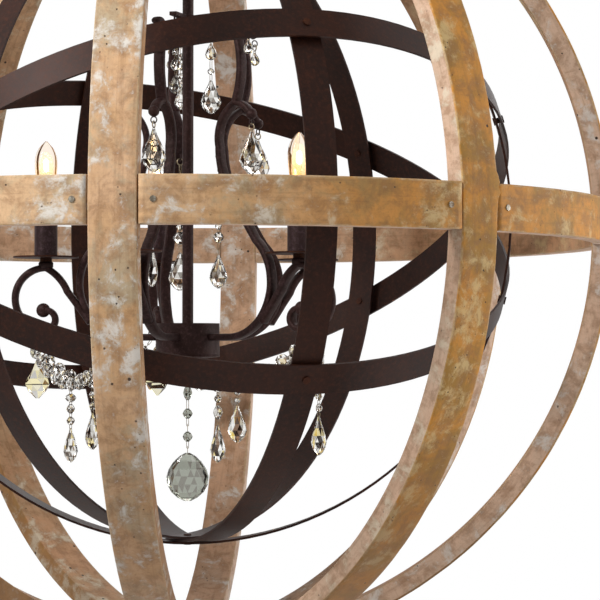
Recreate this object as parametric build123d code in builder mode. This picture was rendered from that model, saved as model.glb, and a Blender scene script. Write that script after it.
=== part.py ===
from build123d import *
import math
import os

# An orb chandelier: a timber orb round an iron orb, round a five-light
# candelabra of flat iron scrolls hung with cut crystals. It hangs from a
# ceiling canopy by a short chain. Millimetres, +Z up, the origin in the
# middle of the mounting strap's ceiling face. An azimuth is measured from -Y
# towards +X, and a profile is drawn as (distance from the axis, height above
# the middle of the timber orb).

# ---------------------------------------------------------------- dimensions
# Ceiling mount
CANOPY_RADIUS = 65.0
CANOPY_HEIGHT = 28.0
CANOPY_WALL = 1.5
CANOPY_RIM = 5.0
STRAP_LENGTH = 116.0
STRAP_BREADTH = 18.0
STRAP_GAUGE = 2.5
SLOT_SPACING = 70.0
SLOT_LENGTH = 18.0
SLOT_WIDTH = 5.0
NIPPLE_RADIUS = 4.9
NIPPLE_GRIP = 9.0
NIPPLE_NUT_RADIUS = 9.0
NIPPLE_NUT_HEIGHT = 5.0
RUNNING_GAP = 0.15
SEAT_GAP = 0.1

# Chain and loops
CHAIN_WIRE = 2.5
LINK_BEND = 8.0
LINK_LENGTH = 50.0
LOOP_BEND = 9.0
LINK_PLAY = 0.2
COLLAR_RADIUS = 9.5
COLLAR_HEIGHT = 14.0

# Timber orb
ORB_RADIUS = 457.2
HOOP_COUNT = 4
HOOP_WIDTH = 44.5
HOOP_THICKNESS = 21.0
POLE_GAP = 56.0
BAND_LIFT = 4.0
JOINT_GAP = 0.3
PLATE_RADIUS = 82.0
PLATE_GAUGE = 3.0
PLATE_SEAT = 0.8
SCREW_CIRCLE = 69.0
SCREW_RADIUS = 2.5
SCREW_HEAD_RADIUS = 5.0
SCREW_HEAD_HEIGHT = 2.0
NAIL_INSET = 14.0
NAIL_LENGTH = 15.0
NAIL_RADIUS = 1.6
NAIL_HEAD_RADIUS = 3.0
NAIL_HEAD_HEIGHT = 0.8

# Iron orb
IRON_LIFT = 11.5
IRON_RADIUS = 342.0
STRAP_IRON_WIDTH = 32.0
STRAP_IRON_GAUGE = 2.5
NEST_GAP = 0.5
UPRIGHT_AZIMUTHS = (150.0, 30.0, 90.0)
TILTED_RINGS = ((28.0, 28.8), (213.8, 29.3))
RIVET_RADIUS = 3.0
RIVET_HEAD_RADIUS = 4.2
RIVET_HEAD_HEIGHT = 1.3
DRILL_GAP = 0.1

# Stem and hub
STEM_RADIUS = 6.0
STEM_BORE = 4.5
NUT_RADIUS = 11.0
NUT_HEIGHT = 7.0
HUB_RADIUS = 34.6
HUB_TOP = -100.9
HUB_HEIGHT = 34.0
HUB_WALL = 2.0
HUB_CAP_GAUGE = 2.5
HUB_LIP = 5.0
KNOB_RADIUS = 9.0
TOP_COLLAR_RADIUS = 13.0
TOP_COLLAR_HEIGHT = 16.0

# Scroll arms
ARM_AZIMUTHS = (57.0, 129.0, 201.0, 273.0, 345.0)
BAR_WIDTH = 12.0
BAR_THICKNESS = 7.5
BALL_RADIUS = 7.8
SMALL_BALL_RADIUS = 6.0
CANDLE_RADIUS = 155.0
CURL_DROP = 74.0
CURL_BEND = 33.5
INNER_BEND = 10.5
CURL_EYE_REACH = 164.0
FESTOON_REACH = 172.0
CURL_EYE_SPREAD = 5.4
NECK_EYE_HEIGHT = 79.0
NECK_EYE_REACH = 39.0
SPOKE_TOP = 233.0
SPOKE_EYE_REACH = 33.0

# Candles
BOSS_RADIUS = 8.0
BOSS_HEIGHT = 3.0
DRIP_PAN_RADIUS = 35.5
DRIP_PAN_GAUGE = 1.5
DRIP_PAN_HEIGHT = -28.0
CUP_RADIUS = 6.6
SOCKET_RADIUS = 10.0
SOCKET_WALL = 1.2
SOCKET_HEIGHT = 56.0
SLEEVE_RADIUS = 12.55
SLEEVE_WALL = 1.0
SLEEVE_HEIGHT = 61.0
BULB_RADIUS = 12.3
BULB_BASE_RADIUS = 8.4
BULB_BASE_LENGTH = 24.0
BULB_TIP = 97.5

# Crystals
EYE_APOTHEM = 3.4
EYE_WIRE = 1.6
EYE_SINK = 1.0
EYE_PLAY = 1.3
CRYSTAL_SIDES = 8
WIRE_LINK = 1.2
FESTOON_BEADS = 11
FESTOON_BEAD_RADIUS = 8.4
FESTOON_BEAD_HALF = 3.2
FESTOON_SAG = 46.0

# ------------------------------------------------------- heights of the stack
LOOP_COLLAR_TOP = -CANOPY_HEIGHT
LOOP_COLLAR_HEIGHT = 4.0
CANOPY_LOOP_Z = LOOP_COLLAR_TOP - LOOP_COLLAR_HEIGHT - LOOP_BEND - CHAIN_WIRE / 2
LINK_DROP = LINK_LENGTH - 2 * CHAIN_WIRE
LINK_RISE = 2 * CHAIN_WIRE + LINK_PLAY
CHAIN_PIVOTS = [CANOPY_LOOP_Z - LOOP_BEND - i * (LINK_DROP - LINK_RISE) for i in range(4)]
TOP_LOOP_Z = CHAIN_PIVOTS[3] + LINK_RISE - LOOP_BEND
TOP_COLLAR_LOOP_Z = TOP_LOOP_Z - LOOP_BEND - CHAIN_WIRE / 2
PLATE_OUTSIDE = ORB_RADIUS + PLATE_SEAT + PLATE_GAUGE
ORB_Z = TOP_COLLAR_LOOP_Z - COLLAR_HEIGHT - PLATE_OUTSIDE - SEAT_GAP
IRON_Z = ORB_Z + IRON_LIFT
HUB_Z = ORB_Z + HUB_TOP
EYE_DROP = 2 * EYE_APOTHEM + EYE_WIRE / 2 - EYE_SINK
RING_DROP = 2 * EYE_APOTHEM + EYE_WIRE / 2 - EYE_PLAY - EYE_WIRE / 2

os.makedirs("parts", exist_ok=True)


# ------------------------------------------------------------------- helpers
def outward(azimuth):
    """The level unit vector that points away from the axis at an azimuth."""
    turn = math.radians(azimuth)
    return Vector(math.sin(turn), -math.cos(turn), 0)


def sideways(azimuth):
    """The level unit vector at right angles to outward, towards larger azimuths."""
    turn = math.radians(azimuth)
    return Vector(math.cos(turn), math.sin(turn), 0)


def upright_plane(azimuth, height):
    """The plane through the axis at an azimuth: x points outward and y up."""
    return Plane(origin=(0, 0, height), x_dir=outward(azimuth), z_dir=-sideways(azimuth))


def place(azimuth, reach, height, side=0.0):
    """A point by azimuth, distance from the axis, height and sideways shift."""
    return outward(azimuth) * reach + sideways(azimuth) * side + Vector(0, 0, height)


def finish(builder, name):
    builder.part.label = name
    export_step(builder.part, f"parts/{name}.step")


def eye_ring(middle, wire_way):
    """A small six-sided ring of square wire: its lowest wire lies along wire_way."""
    ring_plane = Plane(origin=middle, x_dir=wire_way, z_dir=wire_way.cross(Vector(0, 0, 1)))
    with BuildSketch(ring_plane) as outline:
        RegularPolygon(EYE_APOTHEM + EYE_WIRE / 2, 6, major_radius=False, rotation=30)
        RegularPolygon(EYE_APOTHEM - EYE_WIRE / 2, 6, major_radius=False, rotation=30, mode=Mode.SUBTRACT)
    extrude(outline.sketch, amount=EYE_WIRE / 2, both=True)


def hanging_eye(pivot, wire_way):
    """A fixed eye whose lowest wire runs through the pivot."""
    eye_ring(pivot + Vector(0, 0, EYE_APOTHEM), wire_way)


def swinging_ring(pivot, wire_way):
    """The ring that hangs on an eye's lowest wire and swings about it."""
    middle = pivot + Vector(0, 0, EYE_PLAY - EYE_APOTHEM + EYE_WIRE / 2)
    eye_ring(middle, wire_way.cross(Vector(0, 0, 1)))


def facets_between(rings):
    """A closed solid of flat facets through rings of corners, with a flat facet at each end."""
    faces = [Face(Wire.make_polygon(ring, close=True)) for ring in (rings[0], rings[-1])]
    for upper, lower in zip(rings, rings[1:]):
        for i in range(len(upper)):
            corners = (upper[i - 1], upper[i], lower[i], lower[i - 1])
            faces.append(Face(Wire.make_polygon(corners, close=True)))
    return Solid(Shell(faces))


def crystal(top, face_way, width, depth, height, outline):
    """A cut crystal: eight-sided rings of the outline joined by flat facets, widest along face_way."""
    front_way = face_way.cross(Vector(0, 0, 1))
    rings = []
    for level, share in outline:
        centre = top - Vector(0, 0, height * level)
        turns = [math.tau * (i + 0.5) / CRYSTAL_SIDES for i in range(CRYSTAL_SIDES)]
        across = [face_way * (width / 2 * share * math.cos(turn)) for turn in turns]
        through = [front_way * (depth / 2 * share * math.sin(turn)) for turn in turns]
        rings.append([centre + a + t for a, t in zip(across, through)])
    add(facets_between(rings))


def wire_between(start, end):
    """A short square wire from one point to another, a seat gap short at each end."""
    run = end - start
    across = Vector(0, 0, 1).cross(run)
    if across.length < 0.01:
        across = Vector(1, 0, 0)
    wire_plane = Plane(origin=start + run.normalized() * SEAT_GAP, x_dir=across, z_dir=run)
    with BuildSketch(wire_plane) as section:
        Rectangle(WIRE_LINK, WIRE_LINK)
    extrude(section.sketch, amount=run.length - 2 * SEAT_GAP)


def string_down(point, face_way, items):
    """Wires and crystals hung one under another from a point: (wire, width, depth, height, outline)."""
    level = point
    for wire, width, depth, height, outline in items:
        below = level - Vector(0, 0, wire)
        wire_between(level, below)
        crystal(below, face_way, width, depth, height, outline)
        level = below - Vector(0, 0, height)


def hanging_string(pivot, wire_way, face_way, items):
    """A string of crystals on a ring that swings about a fixed eye's lowest wire."""
    swinging_ring(pivot, wire_way)
    string_down(pivot - Vector(0, 0, RING_DROP), face_way, items)


def ring_strap(normal, radius, crossings):
    """A flat iron strap bent to a ring about a normal, drilled along each crossing direction."""
    ring_plane = Plane(origin=(0, 0, IRON_Z), z_dir=normal)
    with BuildSketch(ring_plane) as outline:
        Circle(radius + STRAP_IRON_GAUGE)
        Circle(radius, mode=Mode.SUBTRACT)
    extrude(outline.sketch, amount=STRAP_IRON_WIDTH / 2, both=True)
    for direction, hole_radius in crossings:
        start = Vector(0, 0, IRON_Z) + direction * (radius - STRAP_IRON_GAUGE)
        with BuildSketch(Plane(origin=start, z_dir=direction)) as hole:
            Circle(hole_radius)
        extrude(hole.sketch, amount=3 * STRAP_IRON_GAUGE, mode=Mode.SUBTRACT)


def hex_nut(bottom, radius=NUT_RADIUS, height=NUT_HEIGHT, bore=STEM_RADIUS + SEAT_GAP):
    with BuildSketch(Plane.XY.offset(bottom)) as outline:
        RegularPolygon(radius, 6)
        Circle(bore, mode=Mode.SUBTRACT)
    extrude(outline.sketch, amount=height)


def wire_ring(centre_height, across, bend, length):
    """A closed link or ring of eight-sided wire: each bend is four flats that touch its circle."""
    half_straight = length / 2 - bend
    link_plane = Plane(origin=(0, 0, centre_height), x_dir=across, z_dir=across.cross(Vector(0, 0, 1)))
    corner = bend / math.cos(math.pi / 8)
    turns = [math.radians(22.5 + 45 * i) for i in range(8)]
    corners = [(corner * math.cos(t), corner * math.sin(t) + math.copysign(half_straight, math.sin(t))) for t in turns]
    with BuildLine(link_plane) as path:
        Polyline(*corners, close=True)
    start = link_plane.from_local_coords((bend, 0))
    with BuildSketch(Plane(origin=start, x_dir=across, z_dir=(0, 0, 1))) as wire:
        RegularPolygon(CHAIN_WIRE, 8, rotation=22.5)
    sweep(wire.sketch, path=path.wire(), transition=Transition.RIGHT)


# -------------------------------------------------------------- ceiling mount
with BuildPart() as mounting_strap:
    with BuildSketch(Plane.XY.offset(-STRAP_GAUGE)):
        Rectangle(STRAP_LENGTH, STRAP_BREADTH)
        Circle(NIPPLE_RADIUS + RUNNING_GAP, mode=Mode.SUBTRACT)
        with Locations((-SLOT_SPACING / 2, 0), (SLOT_SPACING / 2, 0)):
            SlotOverall(SLOT_LENGTH, SLOT_WIDTH, mode=Mode.SUBTRACT)
    extrude(amount=STRAP_GAUGE)
finish(mounting_strap, "mounting_strap")

with BuildPart() as strap_nipple:
    with BuildSketch(Plane.XY.offset(LOOP_COLLAR_TOP - LOOP_COLLAR_HEIGHT + 1)):
        Circle(NIPPLE_RADIUS)
    extrude(amount=CANOPY_HEIGHT + LOOP_COLLAR_HEIGHT - 1)
    hex_nut(-STRAP_GAUGE - NIPPLE_NUT_HEIGHT, NIPPLE_NUT_RADIUS, NIPPLE_NUT_HEIGHT, NIPPLE_RADIUS + SEAT_GAP)
finish(strap_nipple, "strap_nipple")

with BuildPart() as canopy:
    with BuildSketch(Plane.XZ):
        with BuildLine():
            neck = NIPPLE_RADIUS + RUNNING_GAP
            shares = ((1.0, CANOPY_RIM / CANOPY_HEIGHT), (0.9, 0.48), (0.72, 0.76), (0.5, 0.93), (0.3, 1.0))
            outside = [(CANOPY_RADIUS * a, -CANOPY_HEIGHT * b) for a, b in shares]
            inside = [(CANOPY_RADIUS * a - CANOPY_WALL * (1.25 - b), -(CANOPY_HEIGHT - CANOPY_WALL) * b) for a, b in shares]
            rim = [(CANOPY_RADIUS - CANOPY_WALL, 0), (CANOPY_RADIUS, 0)]
            necks = [(neck, -CANOPY_HEIGHT), (neck, -CANOPY_HEIGHT + CANOPY_WALL)]
            Polyline(*rim, *outside, *necks, *reversed(inside), close=True)
        make_face()
    revolve(axis=Axis.Z)
finish(canopy, "canopy")

with BuildPart() as canopy_loop:
    with BuildSketch(Plane.XY.offset(LOOP_COLLAR_TOP)):
        Circle(COLLAR_RADIUS)
    extrude(amount=-LOOP_COLLAR_HEIGHT)
    wire_ring(CANOPY_LOOP_Z, Vector(1, 0, 0), LOOP_BEND, 2 * LOOP_BEND)
    with BuildSketch(Plane.XY.offset(LOOP_COLLAR_TOP)):
        Circle(NIPPLE_RADIUS + SEAT_GAP)
    extrude(amount=-(LOOP_COLLAR_HEIGHT - 1 + SEAT_GAP), mode=Mode.SUBTRACT)
finish(canopy_loop, "canopy_loop")

LINK_WAYS = (Vector(0, 1, 0), Vector(1, 0, 0), Vector(0, 1, 0))
for index, across in enumerate(LINK_WAYS):
    with BuildPart() as link:
        wire_ring(CHAIN_PIVOTS[index] + LINK_RISE - LINK_DROP / 2, across, LINK_BEND, LINK_DROP)
    finish(link, f"chain_link_{index + 1}")

with BuildPart() as top_loop:
    with BuildSketch(Plane.XY.offset(TOP_COLLAR_LOOP_Z)):
        Circle(COLLAR_RADIUS)
    extrude(amount=-COLLAR_HEIGHT)
    wire_ring(TOP_LOOP_Z, Vector(1, 0, 0), LOOP_BEND, 2 * LOOP_BEND)
    with BuildSketch(Plane.XY.offset(TOP_COLLAR_LOOP_Z - COLLAR_HEIGHT)):
        Circle(STEM_RADIUS + SEAT_GAP)
    extrude(amount=COLLAR_HEIGHT - 2, mode=Mode.SUBTRACT)
finish(top_loop, "top_loop")

# ----------------------------------------------------------------- timber orb
HOOP_AZIMUTHS = [180.0 / HOOP_COUNT * i for i in range(HOOP_COUNT)]
for index, azimuth in enumerate(HOOP_AZIMUTHS):
    with BuildPart() as hoop:
        with BuildSketch(upright_plane(azimuth, ORB_Z)):
            Circle(ORB_RADIUS)
            Circle(ORB_RADIUS - HOOP_THICKNESS, mode=Mode.SUBTRACT)
            Rectangle(2 * POLE_GAP, 3 * ORB_RADIUS, mode=Mode.SUBTRACT)
        extrude(amount=HOOP_WIDTH / 2, both=True)
        for turned in (azimuth, azimuth + 180):
            for pole in (1, -1):
                lean = math.asin(SCREW_CIRCLE / ORB_RADIUS)
                way = outward(turned) * math.sin(lean) + Vector(0, 0, pole * math.cos(lean))
                start = Vector(0, 0, ORB_Z) + way * (ORB_RADIUS - 2 * HOOP_THICKNESS)
                with BuildSketch(Plane(origin=start, z_dir=way)):
                    Circle(SCREW_RADIUS + DRILL_GAP)
                extrude(amount=3 * HOOP_THICKNESS, mode=Mode.SUBTRACT)
    finish(hoop, f"hoop_{index + 1}")

with BuildPart() as equator_band:
    with BuildSketch(Plane.XY.offset(ORB_Z + BAND_LIFT)):
        Circle(ORB_RADIUS)
        Circle(ORB_RADIUS - HOOP_THICKNESS, mode=Mode.SUBTRACT)
        for azimuth in HOOP_AZIMUTHS:
            Rectangle(HOOP_WIDTH + 2 * JOINT_GAP, 3 * ORB_RADIUS, rotation=azimuth, mode=Mode.SUBTRACT)
    extrude(amount=HOOP_WIDTH / 2, both=True)
    nail_turn = math.degrees((HOOP_WIDTH / 2 + JOINT_GAP + NAIL_INSET) / ORB_RADIUS)
    NAIL_AZIMUTHS = [45.0 * i + side * nail_turn for i in range(2 * HOOP_COUNT) for side in (-1, 1)]
    for azimuth in NAIL_AZIMUTHS:
        start = place(azimuth, ORB_RADIUS + 1, ORB_Z + BAND_LIFT)
        with BuildSketch(Plane(origin=start, z_dir=-outward(azimuth))):
            Circle(NAIL_RADIUS + DRILL_GAP)
        extrude(amount=NAIL_LENGTH + 1 + SEAT_GAP, mode=Mode.SUBTRACT)
finish(equator_band, "equator_band")

with BuildPart() as band_nails:
    for azimuth in NAIL_AZIMUTHS:
        start = place(azimuth, ORB_RADIUS + SEAT_GAP, ORB_Z + BAND_LIFT)
        with BuildSketch(Plane(origin=start, z_dir=outward(azimuth))):
            RegularPolygon(NAIL_HEAD_RADIUS, 8)
        extrude(amount=NAIL_HEAD_HEIGHT)
        with BuildSketch(Plane(origin=start, z_dir=-outward(azimuth))):
            RegularPolygon(NAIL_RADIUS, 6)
        extrude(amount=NAIL_LENGTH)
finish(band_nails, "band_nails")


def pole_plate(sphere_radius, pole):
    """A dished disc of four turned flats on a sphere, drilled for the stem and the screws."""
    leans = [math.asin(PLATE_RADIUS / sphere_radius) * i / 4 for i in range(5)]
    hollow = [(sphere_radius * math.sin(t), ORB_Z + pole * sphere_radius * math.cos(t)) for t in leans]
    crown = [(x, z + pole * PLATE_GAUGE) for x, z in hollow]
    with BuildSketch(Plane.XZ) as dish:
        with BuildLine():
            Polyline(*hollow, *reversed(crown), close=True)
        make_face()
    revolve(dish.sketch, axis=Axis.Z)
    if pole > 0:
        with BuildSketch(Plane.XY.offset(ORB_Z)) as stem_hole:
            Circle(STEM_RADIUS + RUNNING_GAP)
        extrude(stem_hole.sketch, amount=2 * ORB_RADIUS, mode=Mode.SUBTRACT)
    for i in range(2 * HOOP_COUNT):
        lean = math.asin(SCREW_CIRCLE / ORB_RADIUS)
        way = outward(45.0 * i) * math.sin(lean) + Vector(0, 0, pole * math.cos(lean))
        start = Vector(0, 0, ORB_Z) + way * (sphere_radius - PLATE_GAUGE)
        with BuildSketch(Plane(origin=start, z_dir=way)) as hole:
            Circle(SCREW_RADIUS + DRILL_GAP)
        extrude(hole.sketch, amount=3 * PLATE_GAUGE, mode=Mode.SUBTRACT)


OUTER_PLATE_SPHERE = ORB_RADIUS + PLATE_SEAT
BACKING_PLATE_SPHERE = ORB_RADIUS - HOOP_THICKNESS - JOINT_GAP - PLATE_GAUGE
for name, sphere_radius in (("pole_plates", OUTER_PLATE_SPHERE), ("backing_plates", BACKING_PLATE_SPHERE)):
    with BuildPart() as plates:
        pole_plate(sphere_radius, 1)
        pole_plate(sphere_radius, -1)
    finish(plates, name)

with BuildPart() as pole_screws:
    for pole in (1, -1):
        for i in range(2 * HOOP_COUNT):
            lean = math.asin(SCREW_CIRCLE / ORB_RADIUS)
            way = outward(45.0 * i) * math.sin(lean) + Vector(0, 0, pole * math.cos(lean))
            start = Vector(0, 0, ORB_Z) + way * (OUTER_PLATE_SPHERE + PLATE_GAUGE + SEAT_GAP)
            with BuildSketch(Plane(origin=start, z_dir=way)):
                Circle(SCREW_HEAD_RADIUS)
            extrude(amount=SCREW_HEAD_HEIGHT)
            reach = OUTER_PLATE_SPHERE - BACKING_PLATE_SPHERE + PLATE_GAUGE
            with BuildSketch(Plane(origin=start, z_dir=-way)):
                RegularPolygon(SCREW_RADIUS, 8)
            extrude(amount=reach)
finish(pole_screws, "pole_screws")

# ------------------------------------------------------------------- iron orb
STEP = STRAP_IRON_GAUGE + NEST_GAP
UPRIGHT_NORMALS = [sideways(azimuth) for azimuth in UPRIGHT_AZIMUTHS]
TILTED_NORMALS = []
for azimuth, lean in TILTED_RINGS:
    tip = math.radians(lean)
    TILTED_NORMALS.append(outward(azimuth) * math.sin(tip) + Vector(0, 0, math.cos(tip)))
RING_NORMALS = UPRIGHT_NORMALS + TILTED_NORMALS
RING_NAMES = ("upright_ring_1", "upright_ring_2", "upright_ring_3", "tilted_ring_1", "tilted_ring_2")
RIVETED = []
for low in range(3):
    for high in (3, 4):
        direction = RING_NORMALS[low].cross(RING_NORMALS[high]).normalized()
        RIVETED.append((low, high, direction))
        RIVETED.append((low, high, -direction))
direction = TILTED_NORMALS[0].cross(TILTED_NORMALS[1]).normalized()
RIVETED.append((3, 4, direction))
RIVETED.append((3, 4, -direction))
for index, name in enumerate(RING_NAMES):
    crossings = [(way, RIVET_RADIUS + DRILL_GAP) for low, high, way in RIVETED if index in (low, high)]
    if index < 3:
        crossings.append((Vector(0, 0, 1), STEM_RADIUS + RUNNING_GAP))
        crossings.append((Vector(0, 0, -1), RIVET_RADIUS + DRILL_GAP))
    with BuildPart() as iron_ring:
        ring_strap(RING_NORMALS[index], IRON_RADIUS + index * STEP, crossings)
    finish(iron_ring, name)

with BuildPart() as ring_rivets:
    for low, high, way in RIVETED + [(0, 2, Vector(0, 0, -1))]:
        inner_face = IRON_RADIUS + low * STEP
        outer_face = IRON_RADIUS + high * STEP + STRAP_IRON_GAUGE
        inside = Vector(0, 0, IRON_Z) + way * (inner_face - 2 * SEAT_GAP)
        outside = Vector(0, 0, IRON_Z) + way * (outer_face + SEAT_GAP)
        with BuildSketch(Plane(origin=inside, z_dir=way)):
            RegularPolygon(RIVET_RADIUS, 6)
        extrude(amount=outer_face - inner_face + 3 * SEAT_GAP)
        with BuildSketch(Plane(origin=inside, z_dir=-way)):
            RegularPolygon(RIVET_HEAD_RADIUS, 8)
        extrude(amount=RIVET_HEAD_HEIGHT)
        with BuildSketch(Plane(origin=outside, z_dir=way)):
            RegularPolygon(RIVET_HEAD_RADIUS, 8)
        extrude(amount=RIVET_HEAD_HEIGHT)
finish(ring_rivets, "ring_rivets")

# --------------------------------------------------------------- stem and hub
STEM_TOP = TOP_COLLAR_LOOP_Z - 2 - SEAT_GAP
STEM_FOOT = HUB_Z - HUB_WALL - 2 * NUT_HEIGHT
with BuildPart() as stem:
    with BuildSketch(Plane.XY.offset(STEM_FOOT)):
        Circle(STEM_RADIUS)
        Circle(STEM_BORE, mode=Mode.SUBTRACT)
    extrude(amount=STEM_TOP - STEM_FOOT)
finish(stem, "stem")

with BuildPart() as stem_nuts:
    hex_nut(ORB_Z + BACKING_PLATE_SPHERE - NUT_HEIGHT - 4 * SEAT_GAP)
    hex_nut(IRON_Z + IRON_RADIUS + 2 * STEP + STRAP_IRON_GAUGE + SEAT_GAP)
    hex_nut(IRON_Z + IRON_RADIUS - NUT_HEIGHT - 3 * SEAT_GAP)
    hex_nut(HUB_Z - HUB_WALL - NUT_HEIGHT)
finish(stem_nuts, "stem_nuts")

with BuildPart() as hub_drum:
    with BuildSketch(Plane.XY.offset(HUB_Z - HUB_HEIGHT)):
        Circle(HUB_RADIUS)
    extrude(amount=HUB_HEIGHT)
    with BuildSketch(Plane.XY.offset(HUB_Z - HUB_HEIGHT)):
        Circle(HUB_RADIUS - HUB_WALL)
    extrude(amount=HUB_HEIGHT - HUB_WALL, mode=Mode.SUBTRACT)
    with BuildSketch(Plane.XY.offset(HUB_Z - HUB_WALL)):
        Circle(STEM_RADIUS + RUNNING_GAP)
    extrude(amount=HUB_WALL, mode=Mode.SUBTRACT)
finish(hub_drum, "hub_drum")

CENTRE_EYE = Vector(0, 0, HUB_Z - HUB_HEIGHT - HUB_CAP_GAUGE - KNOB_RADIUS * math.cos(math.pi / 12) - EYE_DROP)
with BuildPart() as hub_cap:
    with BuildSketch(Plane.XZ):
        with Locations((0, HUB_Z - HUB_HEIGHT - HUB_CAP_GAUGE)):
            Rectangle(HUB_RADIUS, HUB_CAP_GAUGE, align=(Align.MIN, Align.MIN))
            RegularPolygon(KNOB_RADIUS, 12)
        with Locations((HUB_RADIUS - 2 * HUB_WALL - SEAT_GAP, HUB_Z - HUB_HEIGHT)):
            Rectangle(HUB_WALL, HUB_LIP, align=(Align.MIN, Align.MIN))
        with Locations((0, HUB_Z - HUB_HEIGHT)):
            Rectangle(3 * HUB_RADIUS, 3 * HUB_RADIUS, align=(Align.MAX, Align.CENTER), mode=Mode.SUBTRACT)
            Rectangle(HUB_RADIUS / 2, HUB_RADIUS, align=(Align.MIN, Align.MIN), mode=Mode.SUBTRACT)
    revolve(axis=Axis.Z)
    hanging_eye(CENTRE_EYE, Vector(1, 0, 0))
finish(hub_cap, "hub_cap")

# ---------------------------------------------------------------- scroll arms
CURL_EYE_Z = -CURL_DROP - CURL_BEND - BAR_THICKNESS / 2 - EYE_DROP
ARM_STEP = 360.0 / len(ARM_AZIMUTHS)
FESTOON_EYE_Z = -CURL_DROP - EYE_DROP - math.sqrt((CURL_BEND + BAR_THICKNESS / 2) ** 2 - (FESTOON_REACH - CANDLE_RADIUS) ** 2)
UPPER_BALL = (90.0, 121.0)
TIP_END = (85.7, 216.7)
UPPER_EYE = (UPPER_BALL[0], UPPER_BALL[1] - SMALL_BALL_RADIUS - EYE_DROP)
TIP_EYE = (TIP_END[0], TIP_END[1] - BAR_THICKNESS / 2 - EYE_DROP)


def candle_arm(azimuth):
    """The scroll, the arm that forks from it, the upper scroll and the eyes, welded in one."""
    with BuildSketch(upright_plane(azimuth, ORB_Z)) as profile:
        with BuildLine():
            Line((HUB_RADIUS - 4, -116), (60, -116))
            CenterArc((60, -58), 58, -90, 90)
            belly = CenterArc((60, -58), 58, 0, 50)
            neck = ThreePointArc((62.5, 37), (50.5, 61), (46.2, 88))
            Line(belly @ 1, neck @ 0)
            crown = ThreePointArc(neck @ 1, (50.4, 118), (68, 134.1))
            ThreePointArc(crown @ 1, (80.5, 130.5), (88.5, 122.5))
        trace(line_width=BAR_THICKNESS)
        with BuildLine():
            rise = Line((107, -99), (131.5, -66))
            ThreePointArc(rise @ 1, (141.5, -50.5), (CANDLE_RADIUS, CURL_BEND - CURL_DROP))
        trace(line_width=BAR_THICKNESS)
        with BuildLine():
            CenterArc((CANDLE_RADIUS, -CURL_DROP), CURL_BEND, 90, -180)
            CenterArc((CANDLE_RADIUS, INNER_BEND - CURL_BEND - CURL_DROP), INNER_BEND, 270, -180)
        trace(line_width=BAR_THICKNESS)
        with BuildLine():
            Line((68, 132), (73, 150))
            ThreePointArc((73, 150), (75.8, 172), (69.3, 209))
            CenterArc((79.3, 209), 10, 180, -130)
        trace(line_width=BAR_THICKNESS)
        with Locations(UPPER_BALL):
            Circle(SMALL_BALL_RADIUS)
        with Locations(TIP_END):
            Circle(BAR_THICKNESS / 2)
        with Locations((157.7, -86.6)):
            Circle(BALL_RADIUS)
    extrude(profile.sketch, amount=BAR_WIDTH / 2, both=True)
    with BuildSketch(Plane(origin=place(azimuth, CANDLE_RADIUS, ORB_Z + CURL_BEND - CURL_DROP))) as boss:
        Circle(BOSS_RADIUS)
    extrude(boss.sketch, amount=BAR_THICKNESS / 2 + BOSS_HEIGHT)
    hanging_eye(place(azimuth, UPPER_EYE[0], ORB_Z + UPPER_EYE[1]), sideways(azimuth))
    hanging_eye(place(azimuth, TIP_EYE[0], ORB_Z + TIP_EYE[1]), outward(azimuth))
    hanging_eye(place(azimuth, CURL_EYE_REACH, ORB_Z + CURL_EYE_Z), sideways(azimuth))
    for side in (-1, 1):
        chord_way = sideways(azimuth + side * ARM_STEP / 2)
        hanging_eye(place(azimuth, FESTOON_REACH, ORB_Z + FESTOON_EYE_Z, side * CURL_EYE_SPREAD), chord_way)
    if azimuth in NECK_STRINGS:
        hanging_eye(place(azimuth, NECK_EYE_REACH, ORB_Z + NECK_EYE_HEIGHT), outward(azimuth))


NECK_STRINGS = (129.0, 201.0, 273.0)
SPOKE_STRINGS = (57.0, 201.0, 345.0)
with BuildPart() as scroll_arms:
    for azimuth in ARM_AZIMUTHS:
        candle_arm(azimuth)
    with BuildSketch(Plane.XY.offset(HUB_Z - 2 * HUB_HEIGHT)):
        Circle(HUB_RADIUS + SEAT_GAP)
    extrude(amount=3 * HUB_HEIGHT, mode=Mode.SUBTRACT)
finish(scroll_arms, "scroll_arms")

SPOKE_GAUGE = 4.0
SPOKE_EYE_Z = SPOKE_TOP - SPOKE_GAUGE - EYE_DROP
with BuildPart() as crystal_spider:
    with BuildSketch(Plane.XY.offset(ORB_Z + SPOKE_TOP)):
        Circle(TOP_COLLAR_RADIUS)
    extrude(amount=-TOP_COLLAR_HEIGHT)
    with BuildSketch(Plane.XY.offset(ORB_Z + SPOKE_TOP)):
        for azimuth in SPOKE_STRINGS:
            with Locations(Location((0, 0, 0), (0, 0, azimuth - 90))):
                Rectangle(SPOKE_EYE_REACH + BOSS_RADIUS, BOSS_RADIUS, align=(Align.MIN, Align.CENTER))
    extrude(amount=-SPOKE_GAUGE)
    for azimuth in SPOKE_STRINGS:
        hanging_eye(place(azimuth, SPOKE_EYE_REACH, ORB_Z + SPOKE_EYE_Z), outward(azimuth))
    with BuildSketch(Plane.XY.offset(ORB_Z + SPOKE_TOP)):
        Circle(STEM_RADIUS + RUNNING_GAP)
    extrude(amount=-TOP_COLLAR_HEIGHT, mode=Mode.SUBTRACT)
finish(crystal_spider, "crystal_spider")

# -------------------------------------------------------------------- candles
ARM_TOP_Z = ORB_Z + CURL_BEND - CURL_DROP + BAR_THICKNESS / 2 + BOSS_HEIGHT
PAN_Z = ORB_Z + DRIP_PAN_HEIGHT


def candle_points(height):
    return [place(azimuth, CANDLE_RADIUS, height) for azimuth in ARM_AZIMUTHS]


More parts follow.
